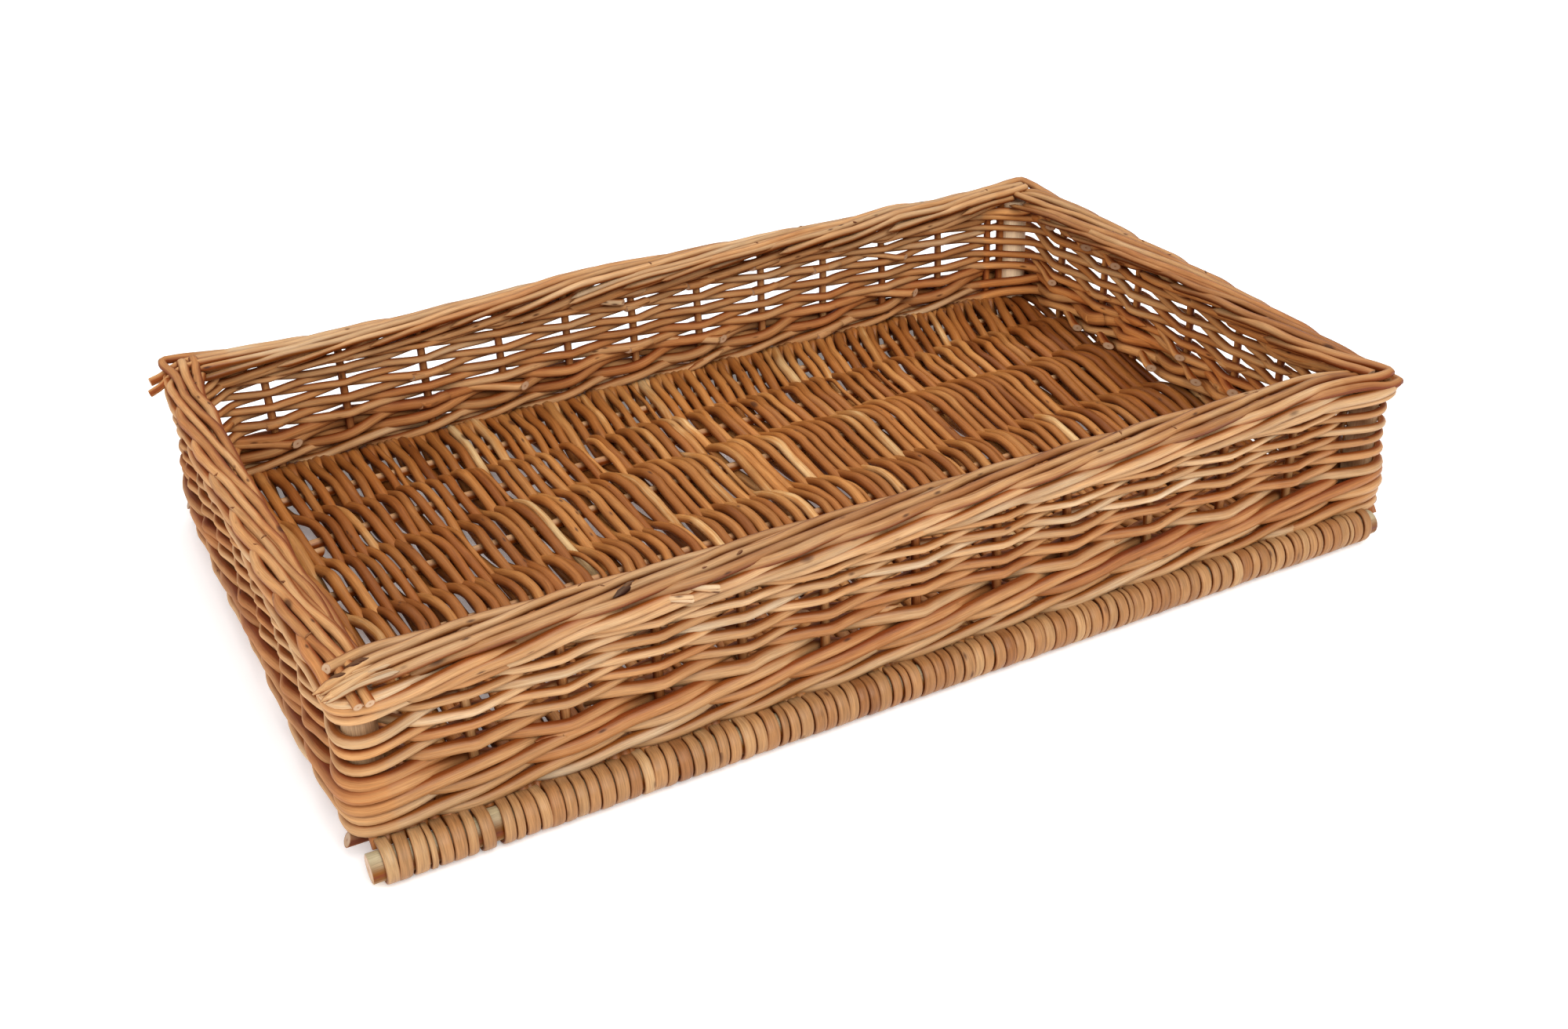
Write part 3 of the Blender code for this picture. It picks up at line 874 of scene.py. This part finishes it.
def build_border():
    bundle = Bundle(10)
    rng = np.random.default_rng(77)
    tip = np.random.default_rng(79)

    def lay(rows, radius, length, start="cut", end="point", tone=None):
        line = catmull(rows, 0.0029, 6)
        a = np.arange(len(line)) * 0.0029
        r = radius * (1.06 - 0.26 * a / max(length, a[-1]))
        # the painted warm bounce light goes on the side turned from up; up faces outwards
        # on the front and left and inwards on the other two, towards the lamps
        turn = -np.clip((line[:, 0] / MID_X + line[:, 1] / MID_Y) / 0.25, -1, 1)
        up = np.concatenate([line[:, 3:5] * 0.6 * turn[:, None],
                             np.full((len(line), 1), 0.8)], 1)
        if tone is None:
            tone = rng.uniform(0.34, 0.72)
            tone = (tone - (0.09 + 0.45 * max(0.0, tone - 0.53))
                    * (line[:, 0] < -0.262)
                    + 0.02 * (line[:, 1] > 0.150)
                    - 0.12 * (line[:, 0] > 0.262))
        shade = rng.random()
        if line[:, 1].mean() < -0.150:
            shade = -0.18 + 0.34 * shade
        bundle.rod(line[:, :3], up, r * 0.98, r * 1.03,
                   tone=tone + wave(rng, a, 0.12, 0.07), shade=shade,
                   rng=rng, start=start, end=end, rough=0.04,
                   slant=(rng.uniform(-0.8, 0.8), 0.0))

    full = 5.5 * STEP
    for w in range(4):
        nxt = (w + 1) % 4
        half, half_next = HALF[w], HALF[nxt]
        stakes = list(WALLS[w][3])
        first, last = stakes[0], stakes[-1]
        lane = {m: [] for m in (1, 2)}
        for k, s0 in enumerate(stakes):
            m = len(stakes) - k            # 1 for the last stake of the wall
            for beside in (False, True):
                if beside and rng.random() > 0.45:
                    continue
                radius = (rng.uniform(0.0017, 0.0021) if beside
                          else rng.uniform(0.00235, 0.00285))
                reach = s0 + rng.uniform(4.5, 5.1) * STEP
                begin = s0 + (0.35 * STEP if beside else -0.45 * STEP)
                if reach < half - 0.0150:
                    lay(rim_rows(rng, w, s0, begin, reach, beside), radius, full)
                    continue
                if m >= 4:
                    lay(rim_rows(rng, w, s0, begin, half - 0.0150, beside),
                        radius, full)
                    continue
                if nxt == FRONT_LEFT or nxt == 0 and m > 1:
                    # these come out below the border of the next wall
                    if m == 1:
                        aim = (0.0040, 0.0960)
                        stop = half + 0.0040
                    else:
                        aim = (-0.0030 if m == 2 else -0.0082, 0.0912)
                        stop = half + 0.0112
                        if nxt == 0:
                            aim = (-0.0060 if m == 2 else -0.0115,
                                   0.0948 if m == 2 else 0.0905)
                            stop = half + (0.0150 if m == 2 else 0.0165)
                    if beside:
                        continue
                    lay(rim_rows(rng, w, s0, begin, stop, beside, leave=aim),
                        radius, full, end="cut")
                    continue
                if m == 3 or beside:
                    lay(rim_rows(rng, w, s0, begin, half - 0.0085, beside,
                                 leave=(-0.0105, 0.0978)), radius, full)
                    continue
                if nxt == 3 and m == 2:
                    lay(rim_rows(rng, w, s0, begin, half - 0.0040, beside,
                                 leave=(-0.0060, 0.0990)), radius, full,
                        end="cut")
                    continue
                lane[m] = (s0, begin, radius)
        # rods of the next wall that start at this corner
        ahead = WALLS[nxt][3][0]
        for d in range(5):
            s0 = ahead - (d + 1) * STEP
            reach = s0 + rng.uniform(4.5, 5.1) * STEP
            radius = rng.uniform(0.0022, 0.0026)
            if reach < -half_next + 0.030:
                continue
            if nxt == FRONT_LEFT:
                begin, enter = {
                    0: (-half_next + 0.012, (0.0010, 0.0950)),
                    1: (-half_next - 0.0040, (0.0050, 0.0968)),
                    2: (-half_next - 0.0052, (0.0012, 0.0990)),
                    3: (-half_next - 0.0030, (-0.0070, 0.1022)),
                    4: (-half_next + 0.0150, (-0.0125, 0.0980))}[d]
                lay(rim_rows(rng, nxt, s0, begin, reach, False, enter=enter),
                    radius, full, start="point" if d in (1, 2) else "cut",
                    tone=0.62)
                if d in (1, 2):
                    # split ends, fanned out
                    for turn in (-1, 0, 1):
                        a = wall_xy(nxt, begin + 0.024, enter[0] - 0.0002
                                    + turn * 0.0011)
                        b = wall_xy(nxt, begin - 0.0012 - 0.001 * abs(turn),
                                    enter[0] + turn * 0.0020)
                        mid = (a + b) / 2
                        lay([[a[0], a[1], enter[1] + 0.0022, 0, -1],
                             [mid[0], mid[1], enter[1] + 0.0016, 0, -1],
                             [b[0], b[1], enter[1] - 0.0014, 0, -1]],
                            0.0012, 0.03, start="point", tone=0.8)
                continue
            if d in (1, 2) and lane[d]:
                s_a, begin, radius = lane[d]
                n_a = 0.0046 if d == 1 else 0.0006
                z_a = 0.1006 if d == 1 else 0.1020
                bulge = n_a
                if d == 1:
                    bulge = {2: 0.0044, 3: 0.0064, 0: 0.0058}[nxt]
                    z_a = {2: 0.0968, 3: 0.1012, 0: 0.1008}[nxt]
                rows = rim_rows(rng, w, s_a, begin, half + n_a - 0.0058, False,
                                leave=(bulge, z_a))
                q = wall_xy(w, half + bulge - 0.0006, bulge - 0.0006)
                diag = np.array(WALLS[w][2]) + np.array(WALLS[nxt][2])
                diag = diag / np.linalg.norm(diag)
                rows.append([q[0], q[1], z_a + 0.0004, *diag])
                rows += rim_rows(rng, nxt, s0, -half_next - n_a + 0.0058, reach,
                                 False, enter=(bulge, z_a))
                lay(rows, radius, 2 * full)
                continue
            begin, enter = {0: (-half_next + 0.0100, (0.0014, 0.0950)),
                            1: (-half_next - 0.0010, (0.0020, 0.1010)),
                            2: (-half_next + 0.0030, (-0.0040, 0.1020)),
                            3: (-half_next + 0.0035, (-0.0105, 0.1026)),
                            4: (-half_next + 0.0150, (-0.0125, 0.0975))}[d]
            lay(rim_rows(rng, nxt, s0, begin, reach, False, enter=enter),
                radius, full)

    # small knots and bud stubs on top of the rim
    co = np.concatenate(bundle.co)

    def knot(x, y, long, r, shade, angle=0.0):
        near = co[np.hypot(co[:, 0] - x, co[:, 1] - y) < 0.0026]
        if not len(near):
            return
        x, y, z = near[near[:, 2].argmax()]
        t = np.array([math.cos(angle), math.sin(angle), 0.0]) * long
        c = np.array([x, y, z - r * 0.35])
        bundle.rod(np.array([c - t, c, c + t]), (0, 0, 1), r, r * 1.2, tone=0.3,
                   shade=shade, start="point", end="point", rough=0,
                   rng=tip)

    knot(-0.1625, -0.1820, 0.0022, 0.0017, -0.98, 0.5)
    knot(-0.1590, -0.1800, 0.0014, 0.0012, -0.80, 0.5)
    for x, y in ((-0.2930, -0.1795), (-0.2840, -0.1770), (-0.2790, -0.1765)):
        knot(x, y, 0.0011, 0.0010, -0.85)
    for x, y in ((-0.2310, -0.1715), (-0.2335, -0.1725)):
        knot(x, y, 0.0010, 0.0009, -0.6)
    for _ in range(26):
        wall = int(tip.integers(0, 4))
        q = wall_xy(wall, tip.uniform(-1, 1) * HALF[wall],
                    tip.uniform(-0.012, 0.005))
        knot(q[0], q[1], tip.uniform(0.0003, 0.0007),
             tip.uniform(0.0004, 0.0007), tip.uniform(-0.60, -0.30),
             tip.uniform(0, 3))

    # two larger ones on the front, pointing away from it
    for x, z, long in ((-0.1330, 0.0945, 0.013), (-0.1195, 0.0957, 0.011)):
        for dz in (-0.0010, 0.0008):
            rows = []
            for t in (0.0, 0.5, 1.0):
                q = wall_xy(1, x - long * (1 - t), 0.0046 + 0.0052 * t)
                rows.append([q[0], q[1], z + 0.0010 * (1 - t) + dz * t])
            bundle.rod(catmull(rows, 0.0012, 5), (0, -1, 0.4), 0.0013, 0.0015,
                       tone=0.80, shade=0.7, rough=0, rng=tip,
                       start="point", slant=(0, 1.2))
    return bundle.make("border", MAT["border"], "border",
                       four("stakes_and_border"))


build_border()


def build_ends():
    """Butt ends of siding and wale rods, left standing inside the basket."""
    bundle = Bundle(12)
    rng = np.random.default_rng(88)

    def butt(wall, s, z, r, back=0.036, deep=-0.0100, tone=None):
        rows = []
        for ds, n, dz in ((back, 0.0005, 0.0040), (back * 0.5, -0.0045, 0.0020),
                          (0.006, deep + 0.0012, 0.0006), (0.0, deep, 0.0)):
            q = wall_xy(wall, s + ds, n)
            rows.append([q[0], q[1], z + dz])
        line = catmull(rows, 0.0025, 8)
        bundle.rod(line, (*WALLS[wall][2], 0), r * np.linspace(
            0.9, 1.05, len(line)), tone=tone or rng.uniform(0.35, 0.75),
            shade=rng.random(), rng=rng, start="point",
            slant=(0.0, rng.uniform(0.7, 1.3)))

    for y, z in ((0.131, 0.086), (0.089, 0.085), (0.056, 0.083),
                 (0.126, 0.046), (-0.018, 0.046), (-0.072, 0.044),
                 (-0.036, 0.036), (0.010, 0.027), (0.094, 0.0235),
                 (0.058, 0.024)):
        butt(2, y, z, rng.uniform(0.0024, 0.0029))
    for x, z in ((-0.234, 0.038), (-0.0886, 0.0407), (0.0514, 0.0407),
                 (0.2014, 0.0414)):
        butt(3, -x, z, rng.uniform(0.0026, 0.0030))
    butt(3, -0.1936, 0.070, 0.0020, 0.028)
    butt(3, 0.017, 0.082, 0.0019, 0.030, -0.0088, 0.95)
    # strands of the top wale, seen from inside
    for wall in range(4):
        most = post_s(wall) - 0.011
        for s in (0.024 - post_s(wall), *WALLS[wall][3], post_s(wall) - 0.024):
            top = 0.0900 + rng.uniform(-0.0006, 0.0006)
            at = np.linspace(min(s + 0.046, most), max(s - 0.042, -most), 7)
            part = np.linspace(0, 1, 7)
            n = np.interp(part, (0, 0.2, 0.5, 0.8, 1), (-22, -52, -66, -58, -30))
            dz = np.interp(part, (0, 0.2, 0.5, 0.8, 1), (-72, -50, -12, 20, 34))
            rows = [[*wall_xy(wall, a, b * 1e-4), top + c * 1e-4]
                    for a, b, c in zip(at, n, dz)]
            line = catmull(rows, 0.003, 8)
            bundle.rod(line, (*WALLS[wall][2], 0), rng.uniform(0.0024, 0.0028)
                       * np.linspace(1.05, 0.9, len(line)),
                       tone=rng.uniform(0.40, 0.78), shade=rng.random(),
                       rng=rng, start="point", end="point")
    for s in (-0.259, 0.259):
        at = np.linspace(s + 0.024, s - 0.024, 6)
        rows = [[*wall_xy(3, a, -0.0036), 0.0942 + 0.0008 * k / 5]
                for k, a in enumerate(at)]
        bundle.rod(catmull(rows, 0.003, 8), (0, 1, 0), 0.0024, tone=0.35,
                   shade=0.4, rng=rng, start="point", end="point")
    # the same on the two walls whose inner side the camera doesn't see
    for y, z in ((0.06, 0.042), (-0.05, 0.045), (-0.11, 0.084), (0.02, 0.084)):
        butt(0, -y, z, rng.uniform(0.0024, 0.0028))
    for x, z in ((-0.18, 0.042), (-0.06, 0.044), (0.08, 0.041), (0.20, 0.084)):
        butt(1, x, z, rng.uniform(0.0024, 0.0028))
    bundle.make("rod_ends", MAT["siding"], "siding")


build_ends()


# --------------------------------------------------------------------- base
# Where each stick of the base runs, as seen from above, back to front.
STICK_LINES = (
    ((-0.294, 0.145), (0.0, 0.150), (0.294, 0.155)),
    ((-0.294, 0.085), (-0.250, 0.087), (-0.168, 0.0973), (-0.100, 0.098),
     (0.030, 0.1004), (0.294, 0.101)),
    ((-0.294, 0.0225), (-0.245, 0.0280), (-0.179, 0.0335), (-0.141, 0.0365),
     (-0.083, 0.0460), (-0.031, 0.0493), (0.030, 0.0500), (0.110, 0.0515),
     (0.294, 0.0520)),
    ((-0.294, -0.034), (-0.220, -0.033), (-0.050, -0.0265), (0.100, -0.0255),
     (0.294, -0.025)),
    ((-0.294, -0.095), (0.0, -0.093), (0.294, -0.094)),
    ((-0.294, -0.155), (0.0, -0.155), (0.294, -0.154)),
)
BACK_SIDE, FRONT_SIDE = SIDE_ROW, -SIDE_ROW


def stick_y(j, x):
    """y of stick j at x; 0 is the back side stick and 7 the front one."""
    if j == 0:
        return BACK_SIDE
    if j == 7:
        return FRONT_SIDE
    line = np.array(STICK_LINES[j - 1])
    return float(np.interp(x, line[:, 0], line[:, 1]))


def build_sticks():
    bundle = Bundle(14)
    rng = np.random.default_rng(31)

    def lay(rows, r, tone, z=STICK_Z, shade=None):
        line = catmull([(x, y, z) for x, y in rows], 0.006, 12)
        line[:, 1] += wave(rng, line[:, 0], 0.30, 0.0005)
        line[:, 2] += wave(rng, line[:, 0], 0.35, 0.0002)
        bundle.rod(line, (0, 0, 1), r * np.linspace(1.06, 0.92, len(line)),
                   tone=tone, shade=rng.random() if shade is None else shade,
                   rng=rng, slant=(0.5, 0.5))
    for rows in STICK_LINES:
        lay(rows, STICK_R, rng.uniform(0.35, 0.75))
    lay(((-0.292, 0.0765), (-0.262, 0.0775), (-0.246, 0.0790)), 0.0030, 0.7,
        STICK_Z - 0.0006)
    # the two side sticks are darkened: painted shade, as they lie under the floor rods by
    # the walls
    for y in (-SIDE_ROW, SIDE_ROW):
        lay(((-0.299, y), (0.299, y)), 0.0033, 0.2, STICK_Z - 0.0005, -0.25)
    bundle.make("base_sticks", MAT["base_stick"], "base_stick",
                ["base_stick_%d" % (i + 1) for i in range(6)]
                + ["base_side_stick_front", "base_side_stick_back"])
    bundle = Bundle(20)
    for y in (-EDGE_Y, EDGE_Y):
        x = np.linspace(-0.2970, 0.2935, 90)
        q = np.zeros((len(x), 3))
        q[:, 0], q[:, 1], q[:, 2] = x, y, EDGE_Z
        bundle.rod(q, (0, 0, 1), EDGE_R, tone=0.6, shade=rng.random(), rng=rng,
                   rough=0.01)
    x = np.linspace(-0.2432, -0.2362, 6)
    q = np.stack([x, np.full(6, -0.1948), np.full(6, 0.0103)], 1)
    bundle.rod(q, (0, 0, 1), 0.0077, tone=0.45, shade=0.5, rng=rng, rough=0.01)
    bundle.make("edge_sticks", MAT["edge_stick"], "edge_stick",
                ["base_edge_stick_front", "base_edge_stick_back"])


LANES = 151
LANE = 0.5850 / LANES


def drift(j, x):
    """How far a rod has moved along the basket at stick j, 0 the back; x is
    where it lies over stick 2."""
    xs = (-0.27, -0.10, 0.0, 0.10, 0.20, 0.27)
    table = ((-12, -4.5, 1, 8.5, 16, 14), (-8, -3, 0, 3.5, 8.5, 8),
             (0, 0, 0, 0, 0, 0), (6, 8, 9, 10, 9, 6), (14, 16, 16, 12, 7, 4),
             (15, 17, 17, 13, 8, 4), (15, 17, 17, 13, 8, 4),
             (15, 17, 17, 13, 8, 4))
    room = min(1.0, max(0.0, (0.2925 - abs(x)) / 0.035))
    return float(np.interp(x, xs, table[j])) * 1e-3 * room


def build_floor():
    halves = Bundle(8), Bundle(8)
    rng = np.random.default_rng(41)
    low_z = STICK_Z - 0.0054
    for i in range(LANES):
        x0 = -0.2925 + LANE * (i + 0.5)
        kind = rng.random()
        big = rng.uniform(0.0029, 0.0038)
        small = rng.uniform(0.0023, 0.0030)
        if kind < 0.07:
            big, small = rng.uniform(0.0015, 0.0020), 0.0014
        ends = (big, small) if (i // 2) % 2 == 0 else (small, big)
        shift = rng.uniform(-0.0009, 0.0009)
        rows = []
        ys = [stick_y(j, x0 + drift(j, x0)) for j in range(8)]
        across = [drift(j, x0) + rng.uniform(-0.0022, 0.0022) * (0 < j < 7)
                  for j in range(8)]

        def put(y, z, dx, j):
            r = ends[0] + (ends[1] - ends[0]) * j / 7
            rows.append([x0 + shift + dx + float(np.interp(
                -y, [-v for v in ys], across)), y, z, r])

        put(0.1864, 0.0116, 0.0, 0)
        put(0.1830, 0.0160, 0.0, 0)
        put(0.1760, 0.0196, 0.0, 0)
        for j in range(1, 7):
            y = ys[j]
            over = (i + j) % 2 == 0
            r = ends[0] + (ends[1] - ends[0]) * j / 7
            lean = rng.uniform(-0.0006, 0.0006)
            if over:
                top = STICK_Z + STICK_R + r * 0.80 + rng.uniform(-0.0006, 0.0006)
                peak = rng.uniform(-0.0040, 0.0080)
                if j > 1:
                    span = ys[j - 1] - y
                    far = min(0.0460, span - 0.012)
                    peak *= min(1.0, (far - 0.012) / 0.032)
                    mid = (far + 0.0120) / 2
                    put(y + far, low_z + 0.0008, 0.0, j)
                    put(y + mid + peak * 0.6, (low_z + top) / 2 + 0.0010,
                        lean, j)
                put(y + 0.0120 + peak, top + 0.0003, lean, j)
                put(y, top + 0.0001, 0.0, j)
                put(y - 0.009, top - 0.0016, -lean, j)
            else:
                z = STICK_Z - STICK_R - r * 0.85
                put(y + 0.014, z + 0.0012, lean, j)
                put(y + 0.003, z, 0.0, j)
                put(y - 0.006, z, -lean * 0.5, j)
        put(-0.1760, 0.0196, 0.0, 7)
        put(-0.1830, 0.0160, 0.0, 7)
        put(-0.1864, 0.0116, 0.0, 7)
        line = catmull(rows, 0.0029, 8)
        k = len(line)
        d = np.arange(k) * 0.0029
        line[:, 0] += wave(rng, d, 0.20, 0.0004)
        tone = rng.uniform(0.26, 0.72) + np.interp(
            x0, (-0.29, -0.15, 0.0, 0.15, 0.29), (-0.14, -0.02, 0.14, 0.01, -0.12))
        if rng.random() < 0.012:
            tone = rng.uniform(0.80, 0.88)
        tones = tone + wave(rng, d, 0.25, 0.08)
        halves[i > LANES // 2].rod(
            line[:, :3], (0, 0, 1), line[:, 3] * 0.92, line[:, 3] * 1.03,
            tone=tones, shade=rng.random(), rng=rng, rough=0.05)
    for half, tag, bands in zip(halves, ("left", "right"),
                                ((1, 2, 3), (3, 4, 5))):
        half.make("floor_weave_" + tag, MAT["base_weave"], "base_weave",
                  ["base_weave_%d" % n for n in bands])


def build_wraps():
    """The flat turns of rod round the thick stick of the front and back."""
    rng = np.random.default_rng(63)
    for tag, o in (("front", -1), ("back", 1)):
        bundle = Bundle(12)
        x = -0.2918
        k = 0
        while x < 0.2885:
            w = rng.uniform(0.0054, 0.0075)
            kind = rng.random()
            if kind < 0.16:
                w = rng.uniform(0.0030, 0.0046)
            tone = rng.uniform(0.40, 0.72)
            if kind > 0.97:
                tone = rng.uniform(0.76, 0.86)
            elif kind > 0.88:
                tone = rng.uniform(0.24, 0.40)
            if tag == "front" and x < -0.2400 < x + w:
                x = -0.2366
            th = rng.uniform(0.0010, 0.0012)
            lean = math.tan(math.radians(rng.uniform(-1, 5) + 7 * np.clip(
                (x + 0.2) / 0.3, 0, 1))) * o
            if rng.random() < 0.22:
                x += rng.uniform(0.0004, 0.0012)
            mid = x + w / 2
            r = EDGE_R + th + 0.0001
            rows = [[0, -0.0160, 0.0136], [0, -0.0115, 0.0150],
                    [0, -0.0055, 0.0092 + r - 0.0008]]
            for a in range(84, -126, -14):
                t = math.radians(a)
                rows.append([0, r * math.cos(t), EDGE_Z + r * math.sin(t)])
            rows += [[0, -0.0085, 0.0052], [0, -0.0125, 0.0068]]
            pts = np.array(rows)
            run = np.concatenate([[0], np.cumsum(np.linalg.norm(
                np.diff(pts[:, 1:], axis=0), axis=1))])
            pts[:, 0] = mid + lean * (run - 0.020)
            up = np.zeros((len(pts), 3))
            up[:, 1:] = pts[:, 1:] - np.array([0.0, EDGE_Z])
            up[:3, 1:] = (0.1, 1.0)
            up[-2:, 1:] = (-0.5, -1.0)
            pts[:, 1] = o * (EDGE_Y + pts[:, 1])
            up[:, 1] *= o
            line = catmull(np.concatenate([pts, unit(up)], 1), 0.0022, 6)
            n = len(line)
            d = np.arange(n) * 0.0022
            bundle.rod(line[:, :3], line[:, 3:6], th,
                       (w / 2 - 0.00012) * rng.uniform(0.95, 1.02),
                       tone=tone + wave(rng, d, 0.05, 0.04),
                       shade=rng.uniform(0.2, 0.9), rng=rng, rough=0.03,
                       box=0.50)
            x += w
            k += 1
        bundle.make("edge_wraps_" + tag, MAT["wrap"], "base_weave")


build_sticks()
build_floor()
build_wraps()


# ------------------------------------------------------------- stage, lights
def build_stage():
    me = bpy.data.meshes.new("floor_plane")
    s = 6.0
    me.from_pydata([(-s, -s, -0.0004), (s, -s, -0.0004), (s, s, -0.0004),
                    (-s, s, -0.0004)], [], [(0, 1, 2, 3)])
    ob = bpy.data.objects.new("floor_plane", me)
    bpy.context.scene.collection.objects.link(ob)
    n = Nodes("floor_white")
    n.bsdf.inputs["Base Color"].default_value = (0.96, 0.955, 0.965, 1)
    n.bsdf.inputs["Emission Color"].default_value = (1, 1, 1, 1)
    n.bsdf.inputs["Emission Strength"].default_value = 0.18
    n.bsdf.inputs["Roughness"].default_value = 0.9
    n.bsdf.inputs["Specular IOR Level"].default_value = 0.1
    me.materials.append(n.mat)


def area(name, where, aim, size, power, colour=(1, 1, 1)):
    data = bpy.data.lights.new(name, "AREA")
    data.shape = "RECTANGLE"
    data.size, data.size_y = size
    data.energy = power
    data.color = colour
    ob = bpy.data.objects.new(name, data)
    bpy.context.scene.collection.objects.link(ob)
    ob.location = where
    ob.rotation_mode = "QUATERNION"
    ob.rotation_quaternion = (Vector(aim) - Vector(where)).to_track_quat(
        "-Z", "Y")
    return ob


def build_light():
    scene = bpy.context.scene
    world = bpy.data.worlds.new("studio")
    scene.world = world
    world.use_nodes = True
    bg = world.node_tree.nodes["Background"]
    bg.inputs[0].default_value = (1.0, 0.99, 0.985, 1)
    bg.inputs[1].default_value = 0.75
    area("key", (0.0, -2.0, 2.1), (0, 0, 0.03), (2.0, 1.8), 64,
         (1, 0.985, 0.965))
    area("top", (0.5, 0.1, 2.6), (0, 0, 0.03), (2.2, 2.0), 29, (1, 0.99, 0.975))
    area("fill", (-2.2, -0.4, 1.1), (0, 0, 0.05), (2.8, 2.2), 18.5,
         (1, 0.975, 0.94))
    scene.view_settings.view_transform = "Standard"
    scene.view_settings.look = "None"
    scene.view_settings.exposure = 0.0
    scene.view_settings.gamma = 1.0


def build_camera():
    data = bpy.data.cameras.new("camera")
    cam = bpy.data.objects.new("camera", data)
    bpy.context.scene.collection.objects.link(cam)
    data.sensor_fit = "HORIZONTAL"
    data.sensor_width = 36.0
    data.lens = 41.011
    data.shift_x, data.shift_y = -0.03736, -0.02167
    data.clip_start, data.clip_end = 0.02, 30.0
    az, el, roll = -0.49421, 0.50823, -0.01769
    back = Vector((math.sin(az) * math.cos(el), -math.cos(az) * math.cos(el),
                   math.sin(el)))
    right = (-back).cross(Vector((0, 0, 1))).normalized()
    up = right.cross(-back)
    r2 = right * math.cos(roll) + up * math.sin(roll)
    u2 = -right * math.sin(roll) + up * math.cos(roll)
    m = Matrix((r2, u2, back)).transposed().to_4x4()
    m.translation = Vector((0.01876, -0.05681, 0.05)) + back * 1.00683
    cam.matrix_world = m
    bpy.context.scene.camera = cam


build_stage()
build_light()
build_camera()
